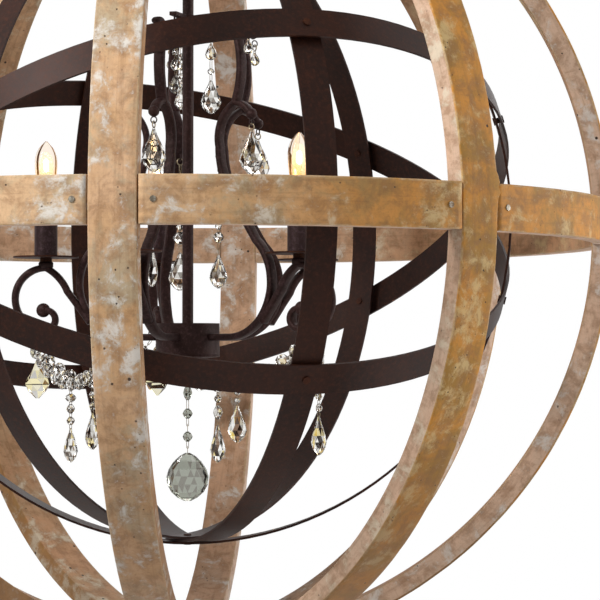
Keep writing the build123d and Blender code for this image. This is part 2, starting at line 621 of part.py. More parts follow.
with BuildPart() as drip_pans:
    for point in candle_points(ARM_TOP_Z):
        with BuildSketch(Plane(origin=point)):
            Circle(CUP_RADIUS)
        extrude(amount=PAN_Z - DRIP_PAN_GAUGE / 2 - ARM_TOP_Z)
    for point in candle_points(PAN_Z):
        with BuildSketch(Plane(origin=point)):
            Circle(DRIP_PAN_RADIUS)
        extrude(amount=-DRIP_PAN_GAUGE)
finish(drip_pans, "drip_pans")

with BuildPart() as candle_sleeves:
    for point in candle_points(PAN_Z):
        with BuildSketch(Plane(origin=point)):
            Circle(SLEEVE_RADIUS)
            Circle(SLEEVE_RADIUS - SLEEVE_WALL, mode=Mode.SUBTRACT)
        extrude(amount=SLEEVE_HEIGHT)
finish(candle_sleeves, "candle_sleeves")

with BuildPart() as lamp_sockets:
    for point in candle_points(PAN_Z):
        with BuildSketch(Plane(origin=point)):
            Circle(SOCKET_RADIUS)
        extrude(amount=SOCKET_HEIGHT)
        with BuildSketch(Plane(origin=point + Vector(0, 0, SOCKET_WALL))):
            Circle(SOCKET_RADIUS - SOCKET_WALL)
        extrude(amount=SOCKET_HEIGHT - SOCKET_WALL, mode=Mode.SUBTRACT)
finish(lamp_sockets, "lamp_sockets")

GLASS_FOOT = DRIP_PAN_HEIGHT + SLEEVE_HEIGHT + 1
with BuildPart() as bulbs:
    for azimuth in ARM_AZIMUTHS:
        bulb_plane = Plane(
            origin=place(azimuth, CANDLE_RADIUS, ORB_Z), x_dir=outward(azimuth), z_dir=-sideways(azimuth)
        )
        with BuildSketch(bulb_plane):
            Polygon(
                (0, GLASS_FOOT - BULB_BASE_LENGTH),
                (BULB_BASE_RADIUS, GLASS_FOOT - BULB_BASE_LENGTH),
                (BULB_BASE_RADIUS, GLASS_FOOT),
                (0.92 * BULB_RADIUS, GLASS_FOOT + 20),
                (BULB_RADIUS, GLASS_FOOT + 36),
                (0.78 * BULB_RADIUS, GLASS_FOOT + 54),
                (0.35 * BULB_RADIUS, BULB_TIP - 1),
                (0, BULB_TIP),
                align=None,
            )
        revolve(axis=Axis(place(azimuth, CANDLE_RADIUS, ORB_Z), (0, 0, 1)))
finish(bulbs, "bulbs")

# ------------------------------------------------------------------- crystals
BEAD = ((0.0, 0.35), (0.5, 1.0), (1.0, 0.35))
DROP = ((0.0, 0.15), (0.4, 0.8), (0.7, 1.0), (1.0, 0.35))
PENDANT = ((0.0, 0.12), (0.3, 0.55), (0.65, 1.0), (0.9, 0.62), (1.0, 0.15))
DISC = ((0.0, 0.3), (0.2, 0.8), (0.5, 1.0), (0.8, 0.8), (1.0, 0.3))
FACE_AZIMUTH = 8.45
FACE = sideways(FACE_AZIMUTH)

for index, azimuth in enumerate(ARM_AZIMUTHS):
    with BuildPart() as upper_pendant:
        pivot = place(azimuth, UPPER_EYE[0], ORB_Z + UPPER_EYE[1])
        hanging_string(pivot, sideways(azimuth), FACE, [(1.0, 26, 9, 45, PENDANT)])
    finish(upper_pendant, f"upper_pendant_{index + 1}")

for index, azimuth in enumerate(ARM_AZIMUTHS):
    with BuildPart() as tip_drop:
        pivot = place(azimuth, TIP_EYE[0], ORB_Z + TIP_EYE[1])
        hanging_string(pivot, outward(azimuth), FACE, [(1.0, 11.5, 8, 14.5, DROP)])
    finish(tip_drop, f"tip_drop_{index + 1}")

for index, azimuth in enumerate(ARM_AZIMUTHS):
    with BuildPart() as curl_pendant:
        pivot = place(azimuth, CURL_EYE_REACH, ORB_Z + CURL_EYE_Z)
        items = [(2, 9, 6, 11, BEAD), (5, 28, 10, 41, PENDANT)]
        hanging_string(pivot, sideways(azimuth), FACE, items)
    finish(curl_pendant, f"curl_pendant_{index + 1}")

SPOKE_ITEMS = (
    [(16, 13, 13, 18, DROP), (9, 8, 6, 7, BEAD), (6, 22, 11, 36, PENDANT)],
    [(20, 8, 8, 8, BEAD), (3, 8, 8, 8, BEAD), (3, 13, 9, 13, BEAD), (3, 16, 9, 24, PENDANT)],
    [(12, 8, 8, 8, BEAD), (3, 8, 8, 8, BEAD), (3, 12, 9, 13, BEAD), (3, 14, 9, 22, PENDANT)],
)
for index, azimuth in enumerate(SPOKE_STRINGS):
    with BuildPart() as spider_string:
        pivot = place(azimuth, SPOKE_EYE_REACH, ORB_Z + SPOKE_EYE_Z)
        hanging_string(pivot, outward(azimuth), FACE, SPOKE_ITEMS[index])
    finish(spider_string, f"spider_string_{index + 1}")

NECK_ITEMS = (
    [(54, 17, 8, 6, BEAD), (3, 8, 7, 9, BEAD), (2, 12, 9, 12, BEAD), (13, 20, 10, 37, PENDANT)],
    [(59, 8, 8, 13, BEAD), (1, 16, 10, 14, BEAD), (9, 26, 10, 42, PENDANT)],
    [(59, 8, 8, 8, BEAD), (3, 8, 8, 8, BEAD), (12, 13, 9, 45, PENDANT)],
)
for index, azimuth in enumerate(NECK_STRINGS):
    with BuildPart() as neck_string:
        pivot = place(azimuth, NECK_EYE_REACH, ORB_Z + NECK_EYE_HEIGHT)
        hanging_string(pivot, outward(azimuth), FACE, NECK_ITEMS[index])
    finish(neck_string, f"neck_string_{index + 1}")

with BuildPart() as centre_string:
    items = [(10, 10, 8, 16, BEAD), (9, 11, 8, 11, BEAD), (14, 11, 8, 11, BEAD), (12, 46, 14, 52, DISC)]
    hanging_string(CENTRE_EYE, Vector(1, 0, 0), FACE, items)
finish(centre_string, "centre_string")

FESTOON_DROPS = (
    [(2, 8, 6, 9, BEAD), (3, 8, 6, 10, BEAD), (3, 17, 9, 43, PENDANT)],
    [(2, 8, 6, 6, BEAD), (3, 8, 6, 6, BEAD), (2, 22, 9, 43, PENDANT)],
    [(2, 8, 6, 9, BEAD), (3, 8, 6, 10, BEAD), (3, 17, 9, 41, PENDANT)],
    [(2, 12, 7, 9, BEAD), (2, 9, 6, 10, BEAD), (3, 9, 6, 9, BEAD), (3, 15, 9, 36, PENDANT)],
    [(2, 8, 6, 8, BEAD), (3, 10, 7, 14, BEAD), (6, 16, 9, 38, PENDANT)],
)


def sag(share):
    return 4 * FESTOON_SAG * share * (1 - share)


def festoon(azimuth, drop_items):
    """A garland of octagon beads between two neighbouring arms, with a drop string in the middle."""
    middle = azimuth + ARM_STEP / 2
    first = place(azimuth, FESTOON_REACH, ORB_Z + FESTOON_EYE_Z, CURL_EYE_SPREAD)
    last = place(azimuth + ARM_STEP, FESTOON_REACH, ORB_Z + FESTOON_EYE_Z, -CURL_EYE_SPREAD)
    swinging_ring(first, sideways(middle))
    swinging_ring(last, sideways(middle))
    ends = (first - Vector(0, 0, RING_DROP), last - Vector(0, 0, RING_DROP))
    fine = [ends[0] + (ends[1] - ends[0]) * (k / 240) - Vector(0, 0, sag(k / 240)) for k in range(241)]
    walked = [0.0]
    for k in range(240):
        walked.append(walked[-1] + (fine[k + 1] - fine[k]).length)
    pitch = walked[-1] / (FESTOON_BEADS + 1)
    centres = []
    for i in range(FESTOON_BEADS):
        k = min(range(241), key=lambda m: abs(walked[m] - pitch * (i + 1)))
        centres.append(fine[k])
    path = [ends[0]] + centres + [ends[1]]
    flat = FESTOON_BEAD_RADIUS * math.cos(math.pi / CRYSTAL_SIDES)
    for i, centre in enumerate(centres):
        run = (path[i + 2] - path[i]).normalized()
        rings = []
        for side, share in ((-1, 0.6), (0, 1.0), (1, 0.6)):
            origin = centre + outward(middle) * (side * FESTOON_BEAD_HALF)
            ring_plane = Plane(origin=origin, x_dir=run, z_dir=outward(middle))
            turns = [math.tau * (k + 0.5) / CRYSTAL_SIDES for k in range(CRYSTAL_SIDES)]
            size = FESTOON_BEAD_RADIUS * share
            rings.append([ring_plane.from_local_coords((size * math.cos(t), size * math.sin(t))) for t in turns])
        add(facets_between(rings))
    for i in range(len(path) - 1):
        run = (path[i + 1] - path[i]).normalized()
        start = path[i] + run * (flat if i else 0)
        end = path[i + 1] - run * (flat if i + 2 < len(path) else 0)
        wire_between(start, end)
    string_down(centres[FESTOON_BEADS // 2] - Vector(0, 0, FESTOON_BEAD_RADIUS), FACE, drop_items)


for index, azimuth in enumerate(ARM_AZIMUTHS):
    with BuildPart() as garland:
        festoon(azimuth, FESTOON_DROPS[index])
    finish(garland, f"festoon_{index + 1}")
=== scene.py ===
import math
import bpy
import numpy as np
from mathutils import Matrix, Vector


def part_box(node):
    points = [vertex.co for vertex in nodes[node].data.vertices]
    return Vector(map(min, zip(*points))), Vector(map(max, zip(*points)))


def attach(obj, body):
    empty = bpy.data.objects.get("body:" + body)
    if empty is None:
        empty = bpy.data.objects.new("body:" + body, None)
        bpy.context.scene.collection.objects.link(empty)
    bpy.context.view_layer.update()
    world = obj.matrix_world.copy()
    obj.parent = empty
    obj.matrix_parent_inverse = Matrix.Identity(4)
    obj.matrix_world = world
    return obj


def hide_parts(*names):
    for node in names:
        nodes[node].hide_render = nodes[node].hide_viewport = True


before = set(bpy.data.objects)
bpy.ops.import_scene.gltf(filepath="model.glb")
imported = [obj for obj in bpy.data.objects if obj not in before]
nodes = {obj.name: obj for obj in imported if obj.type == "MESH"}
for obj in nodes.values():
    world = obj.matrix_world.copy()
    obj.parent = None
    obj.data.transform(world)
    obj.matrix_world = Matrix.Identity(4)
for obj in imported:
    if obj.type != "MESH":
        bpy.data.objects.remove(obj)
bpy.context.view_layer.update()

# ---- The timber orb -------------------------------------------------------
# Four hoops of old boards, each two half rings sawn to the curve, with an
# equator band of eight segments let in between them. The wood is weathered
# tan, with worn pale paint, saw marks, worm holes and rubbed corners.

ORB_CENTRE = -0.6598
ORB_RADIUS = 0.4572
HOOP_WIDTH = 0.0445
HOOP_THICKNESS = 0.021
POLE_GAP = 0.056
BAND_LIFT = 0.004
JOINT_GAP = 0.0003


def linear(code):
    """The linear colour of a six-digit display colour."""
    parts = [int(code[i : i + 2], 16) / 255 for i in (1, 3, 5)]
    return tuple(c / 12.92 if c <= 0.04045 else ((c + 0.055) / 1.055) ** 2.4 for c in parts) + (1.0,)


class Field:
    """A number that varies over a surface. Sums, differences and products of fields add Math nodes."""

    def __init__(self, finish, socket):
        self.finish = finish
        self.socket = socket

    def math(self, operation, other):
        return self.finish.put("ShaderNodeMath", {"operation": operation}, {0: self, 1: other})

    def __add__(self, other):
        return self.math("ADD", other)

    def __radd__(self, other):
        return self.math("ADD", other)

    def __sub__(self, other):
        return self.math("SUBTRACT", other)

    def __rsub__(self, other):
        return self.finish.put("ShaderNodeMath", {"operation": "SUBTRACT"}, {0: other, 1: self})

    def __mul__(self, other):
        return self.math("MULTIPLY", other)

    def __rmul__(self, other):
        return self.math("MULTIPLY", other)

    def between(self, low, high):
        """0 below low, 1 above high, and a smooth step from one to the other."""
        settings = {"interpolation_type": "SMOOTHSTEP"}
        values = {"Value": self, "From Min": low, "From Max": high}
        return self.finish.put("ShaderNodeMapRange", settings, values)


class Finish:
    """A material under way: put() adds one node, and the rest are shorthand for the common ones."""

    def __init__(self, name, **constants):
        self.material = bpy.data.materials.new(name)
        self.material.use_nodes = True
        self.tree = self.material.node_tree
        self.shader = self.tree.nodes["Principled BSDF"]
        for socket, value in constants.items():
            self.shader.inputs[socket.replace("_", " ").title().replace("Ior", "IOR")].default_value = value

    def put(self, kind, settings, inputs, output=0):
        node = self.tree.nodes.new(kind)
        for name, value in settings.items():
            setattr(node, name, value)
        for name, value in inputs.items():
            if isinstance(value, Field):
                self.tree.links.new(value.socket, node.inputs[name])
            else:
                node.inputs[name].default_value = value
        return Field(self, node.outputs[output])

    def coordinates(self, source="Object"):
        return self.put("ShaderNodeTexCoord", {}, {}, source)

    def axis(self, vector, number):
        """One of a vector's three parts."""
        return self.put("ShaderNodeSeparateXYZ", {}, {"Vector": vector}, number)

    def stretched(self, vector, scale, shift=(0, 0, 0)):
        return self.put("ShaderNodeMapping", {}, {"Vector": vector, "Scale": scale, "Location": shift})

    def noise(self, vector, scale, detail=4, roughness=0.55, distortion=0.0):
        values = {"Vector": vector, "Scale": scale, "Detail": detail}
        values |= {"Roughness": roughness, "Distortion": distortion}
        return self.put("ShaderNodeTexNoise", {}, values)

    def dots(self, vector, scale):
        return self.put("ShaderNodeTexVoronoi", {}, {"Vector": vector, "Scale": scale}, "Distance")

    def mix(self, share, one, other):
        node = self.tree.nodes.new("ShaderNodeMix")
        node.data_type = "RGBA"
        for socket, value in ((node.inputs[0], share), (node.inputs[6], one), (node.inputs[7], other)):
            if isinstance(value, Field):
                self.tree.links.new(value.socket, socket)
            else:
                socket.default_value = value
        return Field(self, node.outputs[2])

    def bump(self, height, strength, distance):
        values = {"Height": height, "Strength": strength, "Distance": distance}
        return self.put("ShaderNodeBump", {}, values)

    def wear(self, **links):
        for name, value in links.items():
            self.tree.links.new(value.socket, self.shader.inputs[name.replace("_", " ").title()])
        return self.material


LEFT_SIDE = (0.0455, 0.0470)
INNER_FACE = (0.0645, 0.0660)
RIGHT_SIDE = (0.108, 0.110)
WORN_EDGES = (0.0008, 0.0452, 0.0655)
# Painted warm light, partly the boards' own tone: the span of +X over which the boards turn golden.
GOLD_FROM = (0.06, 0.28)
# Painted shade: the heights between which the painted shade at the bottom of the boards fades out.
PAINTED_SHADE_FADES = (ORB_CENTRE - 0.42, ORB_CENTRE - 0.12)


def old_timber(name, body, olive, warm, pale, shift):
    """Weathered boards read from a length-and-girth map, in metres.

    The colour is the body's, drifting to olive and to warm brown over a hand's breadth, then long
    grain and saw lines across it, chalky flakes of old paint in clusters, and worm holes. The girth
    runs over the outer face first, then the left side, the inner face and the right side: each face
    starts between the two girths of its name. The left side is painted paler, as if lit, the right
    side darker, as if shaded, and the inner face pinker. Towards +X the boards turn golden, partly
    their own tone and partly painted warm light, and a painted shade darkens them towards the bottom.
    """
    wood = Finish(name, metallic=0.0)
    board = wood.stretched(wood.coordinates("UV"), (1, 1, 1), shift)
    girth = wood.axis(wood.coordinates("UV"), 1)

    def moved(x, y):
        return wood.stretched(board, (1, 1, 1), (x, y, 0))

    grain = wood.noise(wood.stretched(board, (9, 150, 1)), 1.0, 7, 0.65, 0.6)
    hatch = wood.noise(wood.stretched(board, (330, 26, 1)), 1.0, 4, 0.65, 0.4)
    cloud = wood.noise(board, 10, 5, 0.62, 0.4)
    drift = wood.noise(moved(4.1, 2.2), 15, 7, 0.68, 0.5)
    mottle = wood.noise(moved(9.2, 0.6), 48, 8, 0.7, 0.4)
    cluster = wood.noise(moved(1.3, 7.7), 14, 3, 0.55, 0.3)
    ragged = wood.noise(moved(2.9, 5.1), 44, 10, 0.7, 0.35)
    dust = wood.noise(board, 260, 7, 0.75)
    spot = wood.coordinates()
    # Share towards +X: it carries painted warm light there as well as the boards' own golden tone.
    eastern = wood.axis(spot, 0).between(*GOLD_FROM)
    # Painted shade: its share is full low down and fades out upwards.
    low_painted_shade = 1 - wood.axis(spot, 2).between(*PAINTED_SHADE_FADES)
    left = girth.between(*LEFT_SIDE) * (1 - girth.between(*INNER_FACE))
    inner = girth.between(*INNER_FACE) * (1 - girth.between(*RIGHT_SIDE))
    colour = wood.mix(cloud.between(0.38, 0.62), body, warm)
    colour = wood.mix(drift.between(0.47, 0.62) * 0.75, colour, olive)
    # Towards +X the boards turn golden: partly their own tone, partly painted warm light.
    golden = wood.mix(drift.between(0.42, 0.6), linear("#c98526"), linear("#9c6f20"))
    colour = wood.mix(eastern * 0.9, colour, golden)
    # Painted light and shade by face: the left side is painted paler, as if lit, the right side darker, as if
    # shaded; the inner face is pinker.
    colour = wood.mix(inner * 0.6, colour, linear("#c9a085"))
    colour = wood.mix(left * 0.85, colour, linear("#d0b29c"))
    colour = wood.mix(girth.between(*RIGHT_SIDE) * 0.6, colour, linear("#9c6a34"))
    colour = wood.mix(mottle.between(0.42, 0.64) * 0.6, colour, linear("#825a34"))
    colour = wood.mix(grain.between(0.46, 0.72) * 0.36, colour, linear("#765230"))
    colour = wood.mix(hatch.between(0.52, 0.74) * 0.16, colour, linear("#7d5c38"))
    colour = wood.mix(dust.between(0.5, 0.7) * 0.3, colour, linear("#6b4c2e"))
    edge_wear = wood.mix(dust.between(0.3, 0.7), linear("#d0b894"), linear("#a58358"))
    for edge in WORN_EDGES:
        before = girth.between(edge - 0.0022, edge - 0.0004)
        near = before * (1 - girth.between(edge + 0.0006, edge + 0.0024))
        colour = wood.mix(near * mottle.between(0.42, 0.56) * 0.7, colour, edge_wear)
    halo = (ragged + cluster * 0.6).between(0.76, 0.95)
    flake = (ragged + cluster * 0.6 + dust * 0.2).between(0.93, 1.09)
    fleck = (mottle + dust * 0.5).between(0.86, 0.98) * 0.6
    # Painted warm light: towards +X, except on the left side, the pale paint is painted warmer; there its
    # flakes and halos are also fewer.
    paint_and_warm_light = wood.mix(eastern * (1 - left) * 0.85, pale, linear("#d8b878"))
    colour = wood.mix(halo * (0.3 - 0.15 * eastern), colour, wood.mix(0.6, paint_and_warm_light, linear("#94886c")))
    chalk = flake.math("MAXIMUM", fleck)
    colour = wood.mix(chalk * (0.75 - 0.15 * eastern), colour, paint_and_warm_light)
    # Painted shade: the boards are darkened towards the bottom, more towards +X and less on the left side and
    # inner face.
    painted_shade = low_painted_shade * (0.55 + 0.3 * eastern) * (1 - 0.8 * left) * (1 - 0.5 * inner)
    colour = wood.mix(painted_shade, colour, linear("#5f3e1c"))
    holes = 1 - wood.dots(moved(3.1, 1.7), 36).between(0.04, 0.07)
    small = (1 - wood.dots(moved(0.7, 3.3), 95).between(0.05, 0.11)) * drift.between(0.44, 0.56)
    pits = (1 - wood.dots(board, 170).between(0.07, 0.13)) * cluster.between(0.56, 0.66)
    dark = holes.math("MAXIMUM", small).math("MAXIMUM", pits * 0.55)
    colour = wood.mix(dark, colour, linear("#33200f"))
    height = grain * 0.3 + hatch * 0.18 + chalk * 0.3 + dust * 0.2 - dark * 1.6
    rough = 0.68 + 0.16 * dust
    return wood.wear(base_color=colour, roughness=rough, normal=wood.bump(height, 0.55, 0.0012))


def skin(name, grid, around=True, along=False, capped=False):
    """A mesh on a grid of points: rows run along a path, columns round its section.

    Each face joins row i to i + 1 and column j to j + 1, closed round either way when asked. The
    map has the length along the rows and the length round the section, in metres. The volume is the
    sum over each face's fan of triangles of first . (second x third), and faces are turned outwards
    where it comes out negative.
    """
    rows, columns = grid.shape[:2]
    index = np.arange(rows * columns).reshape(rows, columns)
    down = np.vstack([index, index[:1]]) if along else index
    full = np.hstack([down, down[:, :1]]) if around else down
    quads = np.stack([full[:-1, :-1], full[1:, :-1], full[1:, 1:], full[:-1, 1:]], -1).reshape(-1, 4)
    wide = np.concatenate([grid, grid[:, :1]], 1) if around else grid
    wide = np.concatenate([wide, wide[:1]], 0) if along else wide
    run = np.zeros(wide.shape[0])
    run[1:] = np.cumsum(np.linalg.norm(np.diff(wide.mean(1), axis=0), axis=1))
    turn = np.zeros(wide.shape[1])
    turn[1:] = np.cumsum(np.linalg.norm(np.diff(wide[0], axis=0), axis=1))
    spread = np.stack(np.meshgrid(run, turn, indexing="ij"), -1)
    corners = np.stack([spread[:-1, :-1], spread[1:, :-1], spread[1:, 1:], spread[:-1, 1:]], -2)
    points = grid.reshape(-1, 3)
    loops, sizes, maps = [quads.reshape(-1)], [np.full(len(quads), 4)], [corners.reshape(-1, 2)]
    if capped:
        for row, order in ((index[0], 1), (index[-1], -1)):
            ring = row[::order]
            loops.append(ring)
            sizes.append(np.array([columns]))
            flat = points[ring] - points[ring].mean(0)
            maps.append(np.stack([flat @ flat[0], flat[:, 2]], -1))
    loops, sizes, maps = np.concatenate(loops), np.concatenate(sizes), np.concatenate(maps)
    starts = np.concatenate([[0], np.cumsum(sizes)[:-1]])
    first = points[loops[starts]]
    volume = 0.0
    for k in range(1, int(sizes.max()) - 1):
        many = sizes > k + 1
        second, third = (points[loops[starts[many] + step]] for step in (k, k + 1))
        volume += np.einsum("ij,ij->i", first[many], np.cross(second, third)).sum()
    mesh = bpy.data.meshes.new(name)
    mesh.vertices.add(len(points))
    mesh.vertices.foreach_set("co", points.astype(np.float32).ravel())
    mesh.loops.add(len(loops))
    mesh.loops.foreach_set("vertex_index", loops.astype(np.int32))
    mesh.polygons.add(len(sizes))
    mesh.polygons.foreach_set("loop_start", starts.astype(np.int32))
    mesh.polygons.foreach_set("loop_total", sizes.astype(np.int32))
    mesh.polygons.foreach_set("use_smooth", np.full(len(sizes), True))
    layer = mesh.uv_layers.new(name="Surface")
    layer.data.foreach_set("uv", maps.astype(np.float32).ravel())
    mesh.update(calc_edges=True)
    if volume < 0:
        mesh.flip_normals()
    mesh.validate()
    piece = bpy.data.objects.new(name, mesh)
    bpy.context.scene.collection.objects.link(piece)
    return piece


def joined(name, pieces):
    """Several meshes as one piece."""
    whole = pieces[0]
    with bpy.context.temp_override(active_object=whole, selected_editable_objects=pieces, object=whole):
        bpy.ops.object.join()
    whole.name = name
    return whole


def outward(azimuth):
    turn = np.radians(azimuth)
    return np.stack([np.sin(turn), -np.cos(turn), 0 * turn], -1)


def sideways(azimuth):
    turn = np.radians(azimuth)
    return np.stack([np.cos(turn), np.sin(turn), 0 * turn], -1)


UP = np.array([0.0, 0.0, 1.0])


def board_section(width, thickness, corner, steps=3):
    """The outline of a board with rounded corners, as (across, through) points.

    Each corner is centre + corner * (cos t, sin t) over a quarter turn; through runs from -thickness
    to 0, and the flats between are cut into steps of about 7 mm.
    """
    points = []
    for cx, cy, start in (
        (width / 2 - corner, -corner, 0),
        (-width / 2 + corner, -corner, 90),
        (-width / 2 + corner, -thickness + corner, 180),
        (width / 2 - corner, -thickness + corner, 270),
    ):
        turns = np.radians(start + np.linspace(0, 90, steps))
        points.append(np.stack([cx + corner * np.cos(turns), cy + corner * np.sin(turns)], -1))
    ring = np.concatenate(points)
    dense = []
    for a, b in zip(ring, np.roll(ring, -1, 0)):
        share = max(1, int(np.linalg.norm(b - a) / 0.007))
        dense.append(a + (b - a) * (np.arange(share) / share)[:, None])
    return np.concatenate(dense)


def sawn_board(name, turns, radial, across, section, seed, knot=None):
    """A board's section carried round an arc: point = centre + radial * (radius + through) + across * side.

    Sums of a few sines along the arc, with phases from the seed, move the faces and corners by
    less than half a millimetre inwards, as a saw and a century of knocks do. A knot is the place,
    reach and height of a bell-shaped swelling of one edge.
    """
    rng = np.random.default_rng(seed)
    waves = rng.uniform(0, math.tau, (6, 2))
    rates = np.array([9, 17, 31, 53, 87, 131])
    wobble = sum(np.sin(turns[:, None] * r + w) / (i + 2) for i, (r, w) in enumerate(zip(rates, waves)))
    side = section[None, :, 0] * (1 - 0.006 * np.abs(wobble[:, :1]))
    outer = section[None, :, 1] > -HOOP_THICKNESS / 2
    through = section[None, :, 1] - 0.00025 * np.abs(wobble[:, 1:]) * outer
    if knot:
        place, reach, height = knot
        bell = np.exp(-(((turns - place) / reach) ** 2)) * (1 + 0.35 * np.sin(turns * 210))
        side = side + height * bell[:, None] * (section[None, :, 0] > 0.4 * HOOP_WIDTH)
    centre = UP * ORB_CENTRE
    grid = centre + radial[:, None] * (ORB_RADIUS + through)[..., None] + across * side[..., None]
    return skin(name, grid, capped=True)


HOOP_TINTS = (
    ("#cda57f", "#a3957a", "#c3996c", "#dcd8d1"),
    ("#c89c5c", "#a58c50", "#c08438", "#dcd0b8"),
    ("#cda67c", "#ad9a7c", "#c8986c", "#dcd8d1"),
    ("#cfa87c", "#ab9878", "#c49a68", "#dcd8d1"),
)
EDGE_KNOT = (1.52, 0.028, 0.0042)
hoop_section = board_section(HOOP_WIDTH - 0.0002, HOOP_THICKNESS, 0.0012)
pole_lean = math.asin((POLE_GAP + 0.0002) / (ORB_RADIUS - HOOP_THICKNESS))
for number in range(4):
    azimuth = 45.0 * number
    halves = []
    for half in (0, 1):
        lean = np.linspace(math.pi - pole_lean, pole_lean, 260)
        radial = outward(azimuth + 180 * half) * np.sin(lean)[:, None] + UP * np.cos(lean)[:, None]
        across = sideways(azimuth + 180.0 * half)
        knot = EDGE_KNOT if (number, half) == (1, 0) else None
        seed = 10 * number + half
        halves.append(sawn_board(f"half_{half}", lean, radial, across, hoop_section, seed, knot))
    hoop = joined(f"Hoop_{number + 1}", halves)
    tints = [linear(code) for code in HOOP_TINTS[number]]
    shift = (1.7 * number, 0.37 * number, 0)
    hoop.data.materials.append(old_timber(f"Hoop_timber_{number + 1}", *tints, shift))
    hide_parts(f"hoop_{number + 1}")
    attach(hoop, "orb")

band_tints = [linear(code) for code in ("#cda880", "#a3987c", "#c49a6c", "#dcd8d1")]
band_timber = old_timber("Band_timber", *band_tints, (5.3, 2.9, 0))
segments = []
band_section = board_section(HOOP_WIDTH, HOOP_THICKNESS, 0.0011)
clear = math.degrees(math.asin((HOOP_WIDTH / 2 + JOINT_GAP) / (ORB_RADIUS - HOOP_THICKNESS)))
for number in range(8):
    turns = np.linspace(45.0 * number + clear, 45.0 * (number + 1) - clear, 60)
    name = f"segment_{number}"
    segment = sawn_board(name, np.radians(turns), outward(turns), UP, band_section, 70 + number)
    points = np.empty(len(segment.data.vertices) * 3, np.float32)
    segment.data.vertices.foreach_get("co", points)
    points[2::3] += BAND_LIFT
    segment.data.vertices.foreach_set("co", points)
    segment.data.materials.append(band_timber)
    segments.append(segment)
band = joined("Equator_band", segments)
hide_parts("equator_band")
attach(band, "orb")


def dress(names, material):
    """The solid's own shape stays, and takes this material."""
    for name in names:
        nodes[name].data.materials.clear()
        nodes[name].data.materials.append(material)


# ---- The iron orb ----------------------------------------------------------
# Five rings of flat strap iron, three upright through the poles and two
# tilted, nested inside one another and riveted where they cross. The iron is
# left with its dark rust-brown scale, a little rubbed at the edges.


def scaled_iron(name, base, glint, rust, rough=0.5, metal=0.35, specular=0.5, sheen=(1, 0.76, 0.7, 1)):
    """Iron with its scale on: clouds of two browns, fine speckle, blots and a dull sheen.

    The base and the rust cloud into each other, the glint speckles them, and the shine is set by
    the roughness, the share of bare metal, the specular level and the tint of its sheen.
    """
    iron = Finish(name, metallic=metal)
    iron.shader.inputs["Specular IOR Level"].default_value = specular
    iron.shader.inputs["Specular Tint"].default_value = sheen
    here = iron.coordinates()
    cloud = iron.noise(here, 16, 5, 0.62)
    speckle = iron.noise(here, 230, 7, 0.75)
    blot = iron.noise(here, 70, 6, 0.72)
    colour = iron.mix(cloud.between(0.36, 0.64), base, rust)
    colour = iron.mix(speckle.between(0.44, 0.7) * 0.7, colour, glint)
    colour = iron.mix(blot.between(0.5, 0.72) * 0.6, colour, base)
    height = speckle * 0.6 + iron.noise(here, 900, 3, 0.6) * 0.4
    dull = rough + 0.2 * speckle
    return iron.wear(base_color=colour, roughness=dull, normal=iron.bump(height, 0.3, 0.0005))


ring_browns = (linear("#150805"), linear("#3f2013"), linear("#251008"))
rust_iron = scaled_iron("Rust_brown_strap", *ring_browns, 0.4, 0.0, 0.2)
dress(("upright_ring_1", "upright_ring_2", "upright_ring_3", "tilted_ring_1", "tilted_ring_2"), rust_iron)
rivet_browns = (linear("#221009"), linear("#58331f"), linear("#371a0f"))
rivet_iron = scaled_iron("Rivet_iron", *rivet_browns, 0.5, 0.0, 0.15)
dress(("ring_rivets", "drip_pans"), rivet_iron)
steel_greys = (linear("#6e6a5f"), linear("#b5b1a4"), linear("#544636"))
old_steel = scaled_iron("Old_steel_nail", *steel_greys, 0.35, 0.75)
dress(("band_nails",), old_steel)

# ---- Ceiling mount, chain and poles ----------------------------------------
# A spun canopy over a strap, a threaded nipple, cast loops with round collars,
# three bent and welded links, and dished plates that clamp the hoops' ends at
# both poles. All are finished in the same black-brown iron.

black_browns = (linear("#211413"), linear("#4d393a"), linear("#2c1a17"))
black_iron = scaled_iron("Black_brown_iron", *black_browns, 0.42, 0.1, 0.2)
CHAIN_WIRE = 0.0025
LINK_BEND = 0.008
LINK_LENGTH = 0.045
LOOP_BEND = 0.009
COLLAR_RADIUS = 0.0095


def wire_loop(name, centre, across, upward, bend, length, wire, rows=64, columns=12):
    """Round wire bent to a long loop: half circles of the bend radius joined by straights.

    The centre line is centre + across * bend * cos t + upward * (bend * sin t +- straight / 2), and
    the wire's circle stands square to it at every t.
    """
    t = np.linspace(0, math.tau, rows, endpoint=False)
    straight = (length - 2 * bend) / 2
    lift = bend * np.sin(t) + straight * np.clip(np.sin(t) * 3, -1, 1)
    line = centre + across * (bend * np.cos(t))[:, None] + upward * lift[:, None]
    run = np.roll(line, -1, 0) - np.roll(line, 1, 0)
    run /= np.linalg.norm(run, axis=1)[:, None]
    flat = np.cross(across, upward)
    out = np.cross(run, flat)
    turn = np.linspace(0, math.tau, columns, endpoint=False)
    circle = out[:, None] * np.cos(turn)[None, :, None] + flat * np.sin(turn)[None, :, None]
    return skin(name, line[:, None] + wire * circle, along=True)


def turned(name, base, profile, sides=64, closed=False):
    """A profile of (radius, height) points turned about the upright line through base."""
    turn = np.linspace(0, math.tau, sides, endpoint=False)
    radius, height = np.array(profile).T
    ring = np.stack([np.cos(turn), np.sin(turn), 0 * turn], -1)
    grid = np.asarray(base) + radius[:, None, None] * ring[None] + height[:, None, None] * UP
    return skin(name, grid, along=closed, capped=not closed)


def finished(name, parts, material, node, body):
    """The parts as one piece in place of a node, with its material, slot and body."""
    piece = joined(name, parts) if len(parts) > 1 else parts[0]
    piece.name = name
    piece.data.materials.append(material)
    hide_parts(node)
    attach(piece, body)
    return piece


